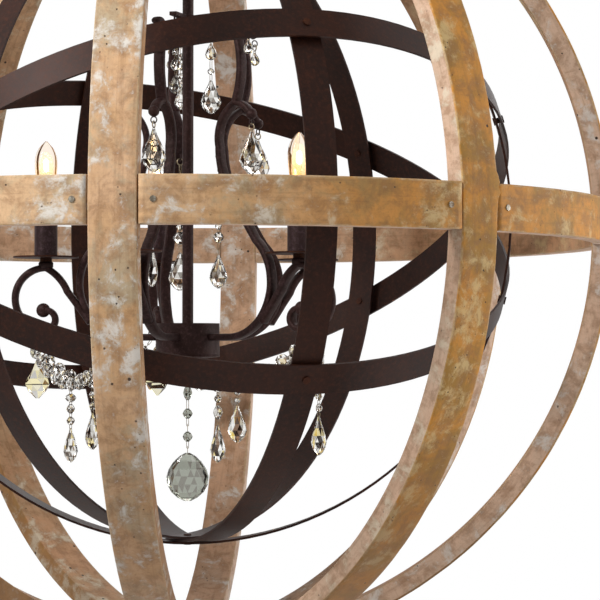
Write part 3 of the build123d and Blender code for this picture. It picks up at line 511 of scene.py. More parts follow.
X, Y = np.array([1.0, 0.0, 0.0]), np.array([0.0, 1.0, 0.0])
rounded = np.radians(np.linspace(0, 90, 5))
for number, across in ((1, Y), (2, X), (3, Y)):
    low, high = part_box(f"chain_link_{number}")
    centre = UP * (low[2] + high[2]) / 2
    link = wire_loop(f"link_{number}", centre, across, UP, LINK_BEND, LINK_LENGTH, CHAIN_WIRE, 96)
    node = f"chain_link_{number}"
    finished(node.capitalize(), [link], black_iron, node, node)

low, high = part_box("canopy_loop")
loop = wire_loop("loop", UP * (low[2] + CHAIN_WIRE + LOOP_BEND), X, UP, LOOP_BEND, 2 * LOOP_BEND, CHAIN_WIRE)
rim = [
    (COLLAR_RADIUS - 0.001 + 0.001 * math.sin(t), high[2] - 0.004 + 0.001 - 0.001 * math.cos(t))
    for t in rounded
]
outline = [(0.003, high[2] - 0.004), *rim, (COLLAR_RADIUS, high[2]), (0.0052, high[2])]
collar = turned("collar", (0, 0, 0), outline)
finished("Canopy_loop", [loop, collar], black_iron, "canopy_loop", "ceiling_mount")

low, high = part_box("top_loop")
loop = wire_loop("loop", UP * (high[2] - CHAIN_WIRE - LOOP_BEND), X, UP, LOOP_BEND, 2 * LOOP_BEND, CHAIN_WIRE)
top = low[2] + 0.014
shoulder = [(COLLAR_RADIUS - 0.003 + 0.003 * math.cos(t), top - 0.003 + 0.003 * math.sin(t)) for t in rounded]
groove = [
    (COLLAR_RADIUS, low[2] + 0.005),
    (COLLAR_RADIUS - 0.0012, low[2] + 0.0042),
    (COLLAR_RADIUS, low[2] + 0.0034),
]
outline = [(0.004, top), *shoulder[::-1], *groove, (COLLAR_RADIUS, low[2]), (0.0062, low[2])]
collar = turned("collar", (0, 0, 0), outline)
finished("Top_loop", [loop, collar], black_iron, "top_loop", "orb")

CANOPY_RADIUS = 0.065
CANOPY_HEIGHT = 0.028
CANOPY_RIM = 0.005
CANOPY_WALL = 0.0015
CANOPY_NECK = 0.00505
CANOPY_TOP = -0.0002
arch = np.radians(np.linspace(0, 90, 28))
crown = 0.3 * CANOPY_RADIUS
outer_r = crown + (CANOPY_RADIUS - crown) * np.cos(arch)
outer_z = -CANOPY_RIM - (CANOPY_HEIGHT - CANOPY_RIM) * np.sin(arch)
outside = [(CANOPY_RADIUS, CANOPY_TOP), *zip(outer_r, outer_z), (CANOPY_NECK, -CANOPY_HEIGHT)]
inner_r, inner_z = outer_r - CANOPY_WALL * np.cos(arch), outer_z + CANOPY_WALL * np.sin(arch)
inside = [
    (CANOPY_NECK, CANOPY_WALL - CANOPY_HEIGHT),
    *zip(inner_r[::-1], inner_z[::-1]),
    (CANOPY_RADIUS - CANOPY_WALL, CANOPY_TOP),
]
cup = turned("cup", (0, 0, 0), outside + inside, 96, closed=True)
finished("Canopy", [cup], black_iron, "canopy", "ceiling_mount")

PLATE_RADIUS = 0.082
PLATE_GAUGE = 0.003
PLATE_SPHERES = (
    ("pole_plates", ORB_RADIUS + 0.0008),
    ("backing_plates", ORB_RADIUS - HOOP_THICKNESS - 0.0033),
)
for name, hollow in PLATE_SPHERES:
    discs = []
    for pole in (1, -1):
        inner = 0.0062 if pole > 0 else 0.0004
        radius = np.linspace(inner, PLATE_RADIUS, 30)
        under = np.sqrt(hollow**2 - radius**2) - 0.0002
        edge = [
            (PLATE_RADIUS + 0.0004, under[-1] + 0.0008),
            (PLATE_RADIUS + 0.0002, under[-1] + PLATE_GAUGE - 0.0006),
        ]
        profile = [*zip(radius, under), *edge, *zip(radius[::-1], under[::-1] + PLATE_GAUGE)]
        profile = [(r, pole * z) for r, z in profile]
        discs.append(turned(f"disc_{pole}", (0, 0, ORB_CENTRE), profile, 96, closed=True))
    finished(name.capitalize(), discs, black_iron, name, "orb")
dress(("mounting_strap", "strap_nipple", "pole_screws", "stem", "stem_nuts"), black_iron)
dress(("hub_drum", "crystal_spider"), black_iron)

# ---- Scroll arms -------------------------------------------------------------
# Five scrolls forged from one bar each: out of the hub, round the belly, up the
# neck and over the crown to a ball. A candle arm forks off at the belly and ends
# in a curl, a thin upper scroll stands on the crown, and small wire eyes are
# welded under the ends for the crystals.

ARM_AZIMUTHS = (57.0, 129.0, 201.0, 273.0, 345.0)
ARM_STEP = 72.0
BAR_THICKNESS = 7.5
BAR_WIDTH = 12.0
BAR_SQUARENESS = 3.4
CANDLE_REACH = 155
CURL_DROP = 74
CURL_BEND = 33.5
INNER_BEND = 10.5
EYE_DROP = 6.6
EYE_WIRE = 0.0007
EYE_BEND = 0.0034


def arc(centre, radius, start, sweep, count=24):
    """Points at centre + radius * (cos, sin), in millimetres, as the angle runs on by sweep degrees."""
    turn = np.radians(start + np.linspace(0, sweep, count))
    return np.array(centre) + radius * np.stack([np.cos(turn), np.sin(turn)], -1)


def arc_through(first, middle, last, count=24):
    """The arc of the circle through three points: its centre is where their two bisectors meet."""
    a, b, c = (np.array(p, float) for p in (first, middle, last))
    rows = np.stack([b - a, c - b])
    centre = np.linalg.solve(rows, np.array([(b @ b - a @ a) / 2, (c @ c - b @ b) / 2]))
    angles = np.unwrap([math.atan2(*(p - centre)[::-1]) for p in (a, b, c)])
    turn = np.linspace(angles[0], angles[2], count)
    return centre + np.linalg.norm(a - centre) * np.stack([np.cos(turn), np.sin(turn)], -1)


def on_arm(azimuth, reach, height, side=0.0):
    """Metres from millimetres out from the axis, up from the orb's middle and sideways."""
    level = UP * (ORB_CENTRE + height / 1000)
    return outward(azimuth) * reach / 1000 + sideways(azimuth) * side / 1000 + level


def forged_bar(name, line, azimuth, seed, taper=1.0):
    """A flat bar with rounded edges carried along a line in an arm's upright plane.

    The section is a superellipse |u|^3.4 + |v|^3.4 = 1, as thick as the bar in the plane and as wide
    across it. Slow waves along the line make it swell and waist by two hundredths, as forging does,
    and its far end is drawn down to the taper.
    """
    line = np.concatenate([line[:1], line[1:][np.linalg.norm(np.diff(line, axis=0), axis=1) > 1e-6]])
    run = np.gradient(line, axis=0)
    run /= np.linalg.norm(run, axis=1)[:, None]
    out = np.stack([-run[:, 1], run[:, 0]], -1)
    walked = np.concatenate([[0], np.cumsum(np.linalg.norm(np.diff(line, axis=0), axis=1))])
    rng = np.random.default_rng(seed)
    waves = zip((9, 5, 3.1), rng.uniform(0, 6, 3))
    swell = 1 + sum(0.008 * np.sin(walked / length + phase) for length, phase in waves)
    swell *= 1 - (1 - taper) * np.clip(walked / walked[-1] * 2 - 1, 0, 1) ** 2
    turn = np.linspace(0, math.tau, 20, endpoint=False)
    u = np.sign(np.cos(turn)) * np.abs(np.cos(turn)) ** (2 / BAR_SQUARENESS) * BAR_THICKNESS / 2
    v = np.sign(np.sin(turn)) * np.abs(np.sin(turn)) ** (2 / BAR_SQUARENESS) * BAR_WIDTH / 2
    flat = line[:, None] + out[:, None] * (swell[:, None] * u)[..., None]
    side = swell[:, None] * v
    grid = outward(azimuth) * flat[..., :1] + UP * flat[..., 1:] + sideways(azimuth) * side[..., None]
    return skin(name, grid / 1000 + UP * ORB_CENTRE, capped=True)


def ball(name, centre, across, radius, half_width):
    """A forged ball, flattened along one direction: circles of radius cos t at half_width * sin t."""
    t = np.radians(np.linspace(-86, 86, 13))
    turn = np.linspace(0, math.tau, 20, endpoint=False)
    first = np.cross(across, UP)
    circle = first * np.cos(turn)[:, None] + UP * np.sin(turn)[:, None]
    grid = centre + radius * np.cos(t)[:, None, None] * circle
    return skin(name, grid + half_width * np.sin(t)[:, None, None] * across, capped=True)


def wire_eye(name, pivot, wire_way):
    """A welded eye of round wire whose lowest point's centre is the pivot."""
    return wire_loop(name, pivot + UP * EYE_BEND, wire_way, UP, EYE_BEND, 2 * EYE_BEND, EYE_WIRE, 20, 8)


CURL_EYE_REACH = 164
CURL_EYE_Z = -CURL_DROP - CURL_BEND - BAR_THICKNESS / 2 - EYE_DROP
FESTOON_REACH = 172.0
FESTOON_SPREAD = 5.4
under_curl = math.sqrt((CURL_BEND + BAR_THICKNESS / 2) ** 2 - (FESTOON_REACH - CANDLE_REACH) ** 2)
FESTOON_EYE_Z = -CURL_DROP - EYE_DROP - under_curl
UPPER_BALL = (90.0, 121.0)
UPPER_EYE = (UPPER_BALL[0], UPPER_BALL[1] - 6 - EYE_DROP)
TIP_EYE = (85.7, 216.7 - BAR_THICKNESS / 2 - EYE_DROP)
NECK_EYE = (39, 79)
NECK_AZIMUTHS = (129.0, 201.0, 273.0)
scroll = np.concatenate([
    np.linspace((34.3, -116), (60, -116), 8),
    arc((60, -58), 58, -90, 140, 70)[1:],
    np.linspace((97.3, -13.6), (62.5, 37), 20)[1:],
    arc_through((62.5, 37), (50.5, 61), (46.2, 88), 24)[1:],
    arc_through((46.2, 88), (50.4, 118), (68, 134.1), 24)[1:],
    arc_through((68, 134.1), (80.5, 130.5), (88.5, 122.5), 14)[1:],
])
candle_arm = np.concatenate([
    np.linspace((106, -100.4), (131.5, -66), 16),
    arc_through((131.5, -66), (141.5, -50.5), (CANDLE_REACH, CURL_BEND - CURL_DROP), 16)[1:],
    arc((CANDLE_REACH, -CURL_DROP), CURL_BEND, 90, -180, 54)[1:],
    arc((CANDLE_REACH, INNER_BEND - CURL_BEND - CURL_DROP), INNER_BEND, 270, -180, 26)[1:],
])
upper_scroll = np.concatenate([
    np.linspace((68, 132), (73, 150), 8),
    arc_through((73, 150), (75.8, 172), (69.3, 209), 26)[1:],
    arc((79.3, 209), 10, 180, -130, 24)[1:],
])
TAPERS = (0.9, 0.95, 0.75)
BOSS = [(0.003, 0.0), (0.0072, 0.0), (0.008, 0.0008), (0.008, 0.0052), (0.0072, 0.0064), (0.003, 0.0066)]
arms = []
for number, azimuth in enumerate(ARM_AZIMUTHS):
    across = sideways(azimuth)
    for step, line in enumerate((scroll, candle_arm, upper_scroll)):
        arms.append(forged_bar(f"bar_{number}_{step}", line, azimuth, 7 * number + step, TAPERS[step]))
    arms.append(ball("ball", on_arm(azimuth, *UPPER_BALL), across, 0.006, 0.006))
    arms.append(ball("ball", on_arm(azimuth, 157.7, -86.6), across, 0.0078, 0.006))
    arms.append(turned("boss", on_arm(azimuth, CANDLE_REACH, -40.4), BOSS, 28))
    arms.append(wire_eye("eye", on_arm(azimuth, *UPPER_EYE), across))
    arms.append(wire_eye("eye", on_arm(azimuth, *TIP_EYE), outward(azimuth)))
    arms.append(wire_eye("eye", on_arm(azimuth, CURL_EYE_REACH, CURL_EYE_Z), across))
    for side in (-1, 1):
        chord = sideways(azimuth + side * ARM_STEP / 2)
        pivot = on_arm(azimuth, FESTOON_REACH, FESTOON_EYE_Z, FESTOON_SPREAD * side)
        arms.append(wire_eye("eye", pivot, chord))
    if azimuth in NECK_AZIMUTHS:
        arms.append(wire_eye("eye", on_arm(azimuth, *NECK_EYE), outward(azimuth)))
finished("Scroll_arms", arms, black_iron, "scroll_arms", "orb")

hub_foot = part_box("hub_drum")[0][2]
KNOB_RADIUS = 0.009
CAP_GAUGE = 0.0025
knob_turn = np.radians(np.linspace(12, 88, 12))
knob = [(KNOB_RADIUS * math.cos(t), -CAP_GAUGE - KNOB_RADIUS * math.sin(t)) for t in knob_turn]
dish = [(0.0004, 0.0), (0.0340, 0.0), (0.0346, -0.0006), (0.0346, -0.002), (0.0338, -0.0025), *knob]
hub_parts = [turned("dish", (0, 0, hub_foot), dish, 64)]
lip = [(0.0286, 0.0), (0.0304, 0.0), (0.0304, 0.0048), (0.0286, 0.0048)]
hub_parts.append(turned("lip", (0, 0, hub_foot), lip, 64, closed=True))
knob_drop = CAP_GAUGE + KNOB_RADIUS * math.cos(math.pi / 12)
centre_eye = UP * (hub_foot - knob_drop - 0.0066)
hub_parts.append(wire_eye("eye", centre_eye, X))
finished("Hub_cap", hub_parts, black_iron, "hub_cap", "orb")

# ---- Candles -----------------------------------------------------------------
# Bronze-painted tubes stand on thin pans, each round a lamp socket. The bulbs are
# clear flame-shaped glass round three crossed filament loops in a warm halo, and
# each has a screw cap that goes down into the socket.

bronze = scaled_iron("Burnt_bronze", linear("#231719"), linear("#544248"), linear("#2c1d1c"), 0.36, 0.2, 0.3)
dress(("candle_sleeves", "lamp_sockets"), bronze)
glass = Finish("Bulb_glass", roughness=0.02, ior=1.09, transmission_weight=1.0)
height = glass.axis(glass.coordinates(), 2)
warm_low = 1 - height.between(ORB_CENTRE + 0.045, ORB_CENTRE + 0.085)
veil = glass.mix(warm_low, linear("#f7efe2"), linear("#ffd79a"))
warm_cloud = warm_low * glass.noise(glass.coordinates(), 90).between(0.2, 0.5)
glow = glass.mix(warm_cloud, linear("#7a4a20"), linear("#ffb04a"))
glass.shader.inputs["Emission Strength"].default_value = 0.18
bulb_glass = glass.wear(base_color=veil, emission_color=glow)
hot = Finish("Glowing_filament", roughness=0.5)
hot.shader.inputs["Emission Strength"].default_value = 6.0
heat = hot.noise(hot.coordinates(), 400).between(0.3, 0.7)
filament = hot.wear(emission_color=hot.mix(heat, linear("#ffd58a"), linear("#fff0c0")))
mist = Finish("Warm_halo", roughness=1.0, alpha=0.16)
mist.shader.inputs["Emission Strength"].default_value = 1.0
cloud = mist.noise(mist.coordinates(), 220).between(0.3, 0.7)
halo = mist.wear(emission_color=mist.mix(cloud, linear("#ffb85a"), linear("#ffd48c")))
GLASS_FOOT = 0.034
GLASS_HEIGHT = 0.0635
SPOT_HEIGHT = 0.071
share = np.array([0, 0.08, 0.2, 0.32, 0.44, 0.55, 0.65, 0.74, 0.82, 0.89, 0.94, 0.975, 1.0])
girth = np.array([8.0, 8.5, 9.6, 10.7, 11.6, 12.2, 12.3, 11.6, 9.9, 7.3, 4.7, 2.6, 0.9]) / 1000
fine = np.linspace(0, 1, 44)
flame = [(float(np.interp(f, share, girth)), GLASS_FOOT + GLASS_HEIGHT * f) for f in fine]
thread = [(0.0064 + 0.0004 * math.sin(k * 1.9), 0.0105 + 0.023 * k / 40) for k in range(41)]
bulb_parts = []
for azimuth in ARM_AZIMUTHS:
    foot = on_arm(azimuth, CANDLE_REACH, 0)
    envelope = turned("envelope", foot, [(0.0004, GLASS_FOOT), *flame], 36)
    envelope.data.materials.append(bulb_glass)
    cap = turned("cap", foot, [(0.002, 0.0102), *thread, (0.0076, 0.0338)], 28)
    cap.data.materials.append(old_steel)
    bulb_parts += [envelope, cap]
    for turn in (0.0, 60.0, 120.0):
        way = sideways(azimuth + turn)
        pin = wire_loop("pin", foot + UP * SPOT_HEIGHT, way, UP, 0.0021, 0.013, 0.00055, 24, 6)
        pin.data.materials.append(filament)
        bulb_parts.append(pin)
    for radius, half_height in ((0.0040, 0.0080), (0.0072, 0.0150)):
        turn = np.radians(np.linspace(-85, 85, 15))
        egg = [(radius * math.cos(t), SPOT_HEIGHT + half_height * math.sin(t)) for t in turn]
        veil_ball = turned("halo", foot, egg, 24)
        veil_ball.data.materials.append(halo)
        bulb_parts.append(veil_ball)
bulbs = joined("Bulbs", bulb_parts)
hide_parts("bulbs")
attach(bulbs, "orb")

# ---- Crystals ----------------------------------------------------------------
# Cut lead crystal: octagon beads, pears and one large flat pear under the hub,
# pinned one under another with bent wire. Each string hangs by a ring in its eye
# and swings there. Garlands of octagons hang from arm to arm.

wire_metal = Finish("Pin_wire", metallic=0.9, roughness=0.3)
tarnish = wire_metal.noise(wire_metal.coordinates(), 300).between(0.3, 0.7)
pin_wire = wire_metal.wear(base_color=wire_metal.mix(tarnish, linear("#6e5d45"), linear("#a99a80")))


def cut_crystal(name, tint, share, contrast=1.0):
    """Crystal with painted reflections: most facets are clear, some painted grey, some painted dark, a share
    tinted.
    """
    crystal = Finish(name, roughness=0.015, ior=1.46, transmission_weight=1.0)
    facet = crystal.put("ShaderNodeAttribute", {"attribute_name": "Facet"}, {}, "Fac")
    haze = crystal.noise(crystal.coordinates(), 240).between(0.3, 0.7)
    clear = crystal.mix(haze, (0.97, 0.97, 0.95, 1), (0.88, 0.87, 0.84, 1))
    # Painted reflections: by its random value, a facet is painted grey or dark, as if it reflected the room.
    colour = crystal.mix(facet.between(0.58, 0.64) * contrast, clear, linear("#aaa69e"))
    colour = crystal.mix(facet.between(0.84, 0.87) * contrast, colour, linear("#4a3f36"))
    colour = crystal.mix((1 - facet.between(share, share + 0.03)), colour, tint)
    return crystal.wear(base_color=colour)


clear_crystal = cut_crystal("Clear_crystal", linear("#dcc48e"), 0.05)
champagne = cut_crystal("Champagne_crystal", linear("#e2c46a"), 0.09)
smoky = cut_crystal("Smoky_crystal", linear("#9a9d92"), 0.8, 0.8)
straw = cut_crystal("Straw_crystal", linear("#f0e6b8"), 0.6, 0.35)
BEAD = ((0.0, 0.3), (0.22, 0.8), (0.5, 1.0), (0.78, 0.8), (1.0, 0.3))
DROP = ((0.0, 0.15), (0.2, 0.45), (0.42, 0.8), (0.68, 1.0), (0.86, 0.8), (1.0, 0.3))
PEAR = (
    (0.0, 0.12), (0.14, 0.3), (0.32, 0.6), (0.52, 0.9),
    (0.68, 1.0), (0.82, 0.84), (0.93, 0.5), (1.0, 0.14),
)
FLAT_PEAR = (
    (0.0, 0.1), (0.06, 0.36), (0.18, 0.66), (0.34, 0.9), (0.5, 1.0),
    (0.66, 0.97), (0.82, 0.76), (0.93, 0.48), (1.0, 0.16),
)
KITE = ((0.0, 0.12), (0.26, 0.42), (0.48, 0.8), (0.63, 1.0), (0.8, 0.7), (1.0, 0.14))
FRONT_AZIMUTH = 8.45
FACE = sideways(FRONT_AZIMUTH)
THROUGH = outward(FRONT_AZIMUTH)
RING_DROP = 0.0055
stones = np.random.default_rng(41)


def facets(name, rings, material):
    """Rings of corners, each turned half a step from the last, joined by triangles with random painted
    reflections.
    """
    rows, sides = rings.shape[:2]
    here = np.arange(sides)
    after = (here + 1) % sides
    faces = []
    for row in range(rows - 1):
        up, down = row * sides, (row + 1) * sides
        low, high = (here, after) if row % 2 else (here - 1, here)
        low %= sides
        faces.append(np.stack([up + here, down + high, down + low], -1))
        faces.append(np.stack([up + here, up + after, down + high], -1))
    triangles = np.concatenate(faces)
    mesh = bpy.data.meshes.new(name)
    caps = [list(range(sides))[::-1], list(range((rows - 1) * sides, rows * sides))]
    mesh.from_pydata(rings.reshape(-1, 3).tolist(), [], triangles.tolist() + caps)
    shade = mesh.attributes.new("Facet", "FLOAT", "FACE")
    shade.data.foreach_set("value", stones.random(len(mesh.polygons)).astype(np.float32))
    points = rings.reshape(-1, 3) - rings.reshape(-1, 3).mean(0)
    corners = points[triangles]
    if np.einsum("ij,ij->i", corners[:, 0], np.cross(corners[:, 1], corners[:, 2])).sum() < 0:
        mesh.flip_normals()
    mesh.validate()
    mesh.materials.append(material)
    piece = bpy.data.objects.new(name, mesh)
    bpy.context.scene.collection.objects.link(piece)
    return piece


def stone(top, width, depth, drop, outline, material, sides=10, table=1.0):
    """A hanging stone: at each level of the outline an oval ring of corners.

    A ring is width / 2 * cos t across and depth / 2 * sin t through, times the outline's share. The
    sine is cut off at the table and scaled back up, which flattens the front and back.
    """
    level, share = np.array(outline).T
    turn = math.tau * (np.arange(sides)[None] + 0.5 * (np.arange(len(level))[:, None] % 2)) / sides
    face = np.clip(np.sin(turn), -table, table) / table
    oval = FACE * (width / 2 * np.cos(turn))[..., None] + THROUGH * (depth / 2 * face)[..., None]
    return facets("stone", top - UP * (drop * level)[:, None, None] + oval * share[:, None, None], material)


def pins(first, last):
    """Small bent-wire links from one point to the next, each turned a quarter from the one before."""
    run = last - first
    length = np.linalg.norm(run)
    count = max(1, round(length / 0.0065))
    way = run / length
    side = np.cross(way, THROUGH)
    side /= np.linalg.norm(side)
    links = []
    for k in range(count):
        middle = first + run * (k + 0.5) / count
        across = side if k % 2 == 0 else np.cross(way, side)
        links.append(wire_loop("pin", middle, across, way, 0.0011, length / count + 0.0022, 0.00035, 16, 5))
    for link in links:
        link.data.materials.append(pin_wire)
    return links


def swinging_ring(pivot, wire_way):
    """The ring that hangs in an eye: its top passes over the eye's lowest wire, square to it."""
    centre, across = pivot - UP * 0.0013, np.cross(wire_way, UP)
    ring = wire_loop("ring", centre, across, UP, EYE_BEND, 2 * EYE_BEND, EYE_WIRE, 20, 8)
    ring.data.materials.append(pin_wire)
    return ring


def string_of_stones(top, items, material):
    """Pins and stones one under another.

    Each item is a pin's length and a stone's width, depth and height in millimetres, and its outline.
    """
    pieces = []
    for pin, width, depth, drop, outline in items:
        pieces += pins(top, top - UP * pin / 1000)
        top = top - UP * pin / 1000
        sides, table = {BEAD: (8, 1.0), FLAT_PEAR: (20, 0.72), KITE: (8, 0.5)}.get(outline, (12, 0.9))
        size = (width / 1000, depth / 1000, drop / 1000)
        pieces.append(stone(top, *size, outline, material, sides, table))
        top = top - UP * drop / 1000
    return pieces


def hung(node, pivot, wire_way, items, material, slot):
    """A whole string on its ring, in place of its node and riding on its own body."""
    ring = swinging_ring(pivot, wire_way)
    stones_below = string_of_stones(pivot - UP * RING_DROP, items, material)
    piece = joined(node.capitalize(), [ring, *stones_below])
    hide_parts(node)
    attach(piece, node)


CLEAR, CHAMPAGNE = (clear_crystal, "clear_crystal"), (champagne, "champagne_crystal")
UPPER_ITEMS = [(1, 26, 9, 45, PEAR)]
TIP_ITEMS = [(1, 11.5, 8, 14.5, DROP)]
CURL_ITEMS = [(2, 9, 6, 11, BEAD), (5, 28, 10, 41, KITE)]
for number, azimuth in enumerate(ARM_AZIMUTHS, 1):
    across, out = sideways(azimuth), outward(azimuth)
    curl_eye = on_arm(azimuth, CURL_EYE_REACH, CURL_EYE_Z)
    hung(f"upper_pendant_{number}", on_arm(azimuth, *UPPER_EYE), across, UPPER_ITEMS, *CLEAR)
    hung(f"tip_drop_{number}", on_arm(azimuth, *TIP_EYE), out, TIP_ITEMS, *CHAMPAGNE)
    hung(f"curl_pendant_{number}", curl_eye, across, CURL_ITEMS, straw, "champagne_crystal")
SPOKE_AZIMUTHS = (57.0, 201.0, 345.0)
SPOKE_REACH = 33
SPOKE_TOP = 233
SPOKE_GAUGE = 4
SPOKE_ITEMS = (
    [(16, 13, 13, 18, DROP), (9, 8, 6, 7, BEAD), (6, 22, 11, 36, PEAR)],
    [(20, 8, 8, 8, BEAD), (3, 8, 8, 8, BEAD), (3, 13, 9, 13, BEAD), (3, 16, 9, 24, PEAR)],
    [(12, 8, 8, 8, BEAD), (3, 8, 8, 8, BEAD), (3, 12, 9, 13, BEAD), (3, 14, 9, 22, PEAR)],
)
for number, azimuth in enumerate(SPOKE_AZIMUTHS, 1):
    pivot = on_arm(azimuth, SPOKE_REACH, SPOKE_TOP - SPOKE_GAUGE - EYE_DROP)
    hung(f"spider_string_{number}", pivot, outward(azimuth), SPOKE_ITEMS[number - 1], *CLEAR)
NECK_ITEMS = (
    [(54, 17, 8, 6, BEAD), (3, 8, 7, 9, BEAD), (2, 12, 9, 12, BEAD), (13, 20, 10, 37, PEAR)],
    [(59, 8, 8, 13, BEAD), (1, 16, 10, 14, BEAD), (9, 26, 10, 42, PEAR)],
    [(59, 8, 8, 8, BEAD), (3, 8, 8, 8, BEAD), (12, 13, 9, 45, PEAR)],
)
for number, azimuth in enumerate(NECK_AZIMUTHS, 1):
    pivot = on_arm(azimuth, *NECK_EYE)
    hung(f"neck_string_{number}", pivot, outward(azimuth), NECK_ITEMS[number - 1], *CLEAR)
CENTRE_BEADS = [(10, 10, 8, 16, BEAD), (9, 11, 8, 11, BEAD), (14, 11, 8, 11, BEAD)]
centre_items = [*CENTRE_BEADS, (12, 46, 14, 52, FLAT_PEAR)]
hung("centre_string", centre_eye, X, centre_items, smoky, "champagne_crystal")

FESTOON_DROPS = (
    [(2, 8, 6, 9, BEAD), (3, 8, 6, 10, BEAD), (3, 17, 9, 43, PEAR)],
    [(2, 8, 6, 6, BEAD), (3, 8, 6, 6, BEAD), (2, 22, 9, 43, PEAR)],
    [(2, 8, 6, 9, BEAD), (3, 8, 6, 10, BEAD), (3, 17, 9, 41, PEAR)],
    [(2, 12, 7, 9, BEAD), (2, 9, 6, 10, BEAD), (3, 9, 6, 9, BEAD), (3, 15, 9, 36, PEAR)],
    [(2, 8, 6, 8, BEAD), (3, 10, 7, 14, BEAD), (6, 16, 9, 38, PEAR)],
)
FESTOON_BEADS = 11
BEAD_RADIUS = 0.0084
FESTOON_SAG = 0.046
BEAD_WIDTHS = np.array([0.45, 0.82, 1.0, 0.82, 0.45])[:, None, None] * BEAD_RADIUS
BEAD_DEPTHS = np.array([-3.4, -2.6, 0.0, 2.6, 3.4])[:, None, None] / 1000
PIN_START = BEAD_RADIUS * 0.86
for number, azimuth in enumerate(ARM_AZIMUTHS, 1):
    chord, face = sideways(azimuth + ARM_STEP / 2), outward(azimuth + ARM_STEP / 2)
    first = on_arm(azimuth, FESTOON_REACH, FESTOON_EYE_Z, FESTOON_SPREAD)
    last = on_arm(azimuth + ARM_STEP, FESTOON_REACH, FESTOON_EYE_Z, -FESTOON_SPREAD)
    share = np.linspace(0, 1, 241)[:, None]
    line = first + (last - first) * share - UP * (RING_DROP + 4 * FESTOON_SAG * share * (1 - share))
    walked = np.concatenate([[0], np.cumsum(np.linalg.norm(np.diff(line, axis=0), axis=1))])
    stops = walked[-1] * np.arange(FESTOON_BEADS + 2) / (FESTOON_BEADS + 1)
    path_points = line[[int(np.argmin(np.abs(walked - stop))) for stop in stops]]
    pieces = [swinging_ring(first, chord), swinging_ring(last, chord)]
    for k in range(1, FESTOON_BEADS + 1):
        along = path_points[k + 1] - path_points[k - 1]
        along /= np.linalg.norm(along)
        upward = np.cross(face, along)
        turn = math.tau * (np.arange(8)[None] + 0.5 * (np.arange(5)[:, None] % 2)) / 8
        flat = along * np.cos(turn)[..., None] + upward * np.sin(turn)[..., None]
        rings = path_points[k] + flat * BEAD_WIDTHS + face * BEAD_DEPTHS
        pieces.append(facets("octagon", rings, clear_crystal))
    for k in range(FESTOON_BEADS + 1):
        way = path_points[k + 1] - path_points[k]
        way /= np.linalg.norm(way)
        start = path_points[k] + way * (PIN_START if k else 0)
        end = path_points[k + 1] - way * (PIN_START if k < FESTOON_BEADS else 0)
        pieces += pins(start, end)
    middle = path_points[(FESTOON_BEADS + 1) // 2] - UP * BEAD_RADIUS
    pieces += string_of_stones(middle, FESTOON_DROPS[number - 1], champagne)
    garland = joined(f"Festoon_{number}", pieces)
    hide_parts(f"festoon_{number}")
    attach(garland, f"festoon_{number}")

# ---- The studio -------------------------------------------------------------
# A pale floor well below that is clear when seen from beneath, a white surround,
# a soft key lamp to the upper left, weaker ones to the right and behind, and the
# camera where the photograph was taken from, a little below the orb's middle.

FLOOR_HEIGHT = -1.9
FLOOR_HALF = 6
floor_mesh = bpy.data.meshes.new("Floor")
corner_signs = ((-1, -1), (1, -1), (1, 1), (-1, 1))
floor_corners = [(FLOOR_HALF * x, FLOOR_HALF * y, FLOOR_HEIGHT) for x, y in corner_signs]
floor_mesh.from_pydata(floor_corners, [], [(0, 1, 2, 3)])
floor = bpy.data.objects.new("Floor", floor_mesh)
bpy.context.scene.collection.objects.link(floor)
floor_finish = Finish("Floor_white", roughness=0.9)
speckle = floor_finish.noise(floor_finish.coordinates(), 30).between(0.2, 0.8)
ray_kinds = ("Camera", "Glossy", "Transmission")
rays = [floor_finish.put("ShaderNodeLightPath", {}, {}, f"Is {kind} Ray") for kind in ray_kinds]
seen = rays[0].math("MAXIMUM", rays[1]).math("MAXIMUM", rays[2])
pale = floor_finish.mix(seen, (0, 0, 0, 1), (0.55, 0.55, 0.55, 1))
floor_finish.shader.inputs["Emission Strength"].default_value = 1.0
from_below = floor_finish.put("ShaderNodeNewGeometry", {}, {}, "Backfacing")
white = floor_finish.mix(speckle, (0.86, 0.86, 0.86, 1), (0.9, 0.9, 0.9, 1))
floor_finish.wear(base_color=white, emission_color=pale, alpha=1 - from_below)
floor.data.materials.append(floor_finish.material)

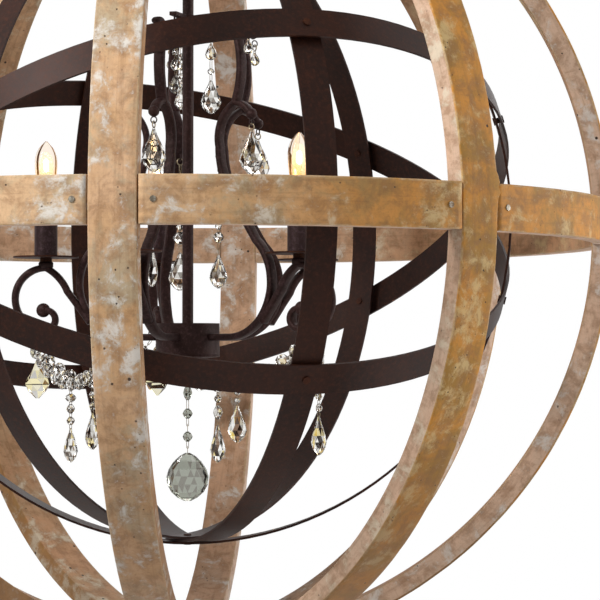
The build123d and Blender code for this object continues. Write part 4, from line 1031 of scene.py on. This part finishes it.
SURROUND_LIGHT = 0.33
world = bpy.data.worlds.new("Surround")
bpy.context.scene.world = world
world.use_nodes = True
sky = world.node_tree
path = sky.nodes.new("ShaderNodeLightPath")
seen = path.outputs["Is Camera Ray"]
for ray in ("Is Transmission Ray", "Is Glossy Ray"):
    either = sky.nodes.new("ShaderNodeMath")
    either.operation = "MAXIMUM"
    sky.links.new(seen, either.inputs[0])
    sky.links.new(path.outputs[ray], either.inputs[1])
    seen = either.outputs[0]
level = sky.nodes.new("ShaderNodeMapRange")
level.inputs["To Min"].default_value = SURROUND_LIGHT
level.inputs["To Max"].default_value = 1.0
sky.links.new(seen, level.inputs["Value"])
sky.links.new(level.outputs[0], sky.nodes["Background"].inputs["Strength"])
sky.nodes["Background"].inputs["Color"].default_value = (1, 1, 1, 1)


def soft_lamp(name, place, size, power):
    """A square area lamp that faces the middle of the orb."""
    lamp = bpy.data.lights.new(name, "AREA")
    lamp.size = size
    lamp.energy = power
    holder = bpy.data.objects.new(name, lamp)
    holder.location = place
    way = np.array(place) - UP * ORB_CENTRE
    tilt = math.acos(way[2] / np.linalg.norm(way))
    holder.rotation_euler = (tilt, 0, math.atan2(way[1], way[0]) + math.pi / 2)
    bpy.context.scene.collection.objects.link(holder)


soft_lamp("Key", (-1.13, -1.3, 0.45), 0.9, 48)
soft_lamp("Fill", (2.2, 0.2, -0.4), 1.2, 28)
soft_lamp("Back", (0.4, 2.4, 0.6), 1.5, 16)

camera = bpy.data.cameras.new("Camera")
camera.sensor_width = 36
camera.lens = 135.768
camera.clip_end = 50
viewer = bpy.data.objects.new("Camera", camera)
CAMERA_AWAY = 2.4584
CAMERA_BELOW = 0.13041
CAMERA_TILT = 0.0223367
CAMERA_PAN = 0.0495774
stand = math.radians(8.455)
away_x, away_y = CAMERA_AWAY * math.sin(stand), -CAMERA_AWAY * math.cos(stand)
viewer.location = (away_x, away_y, ORB_CENTRE - CAMERA_BELOW)
viewer.rotation_euler = (math.pi / 2 + CAMERA_TILT, 0, stand - CAMERA_PAN)
bpy.context.scene.collection.objects.link(viewer)
bpy.context.scene.camera = viewer
bpy.context.scene.view_settings.view_transform = "Standard"
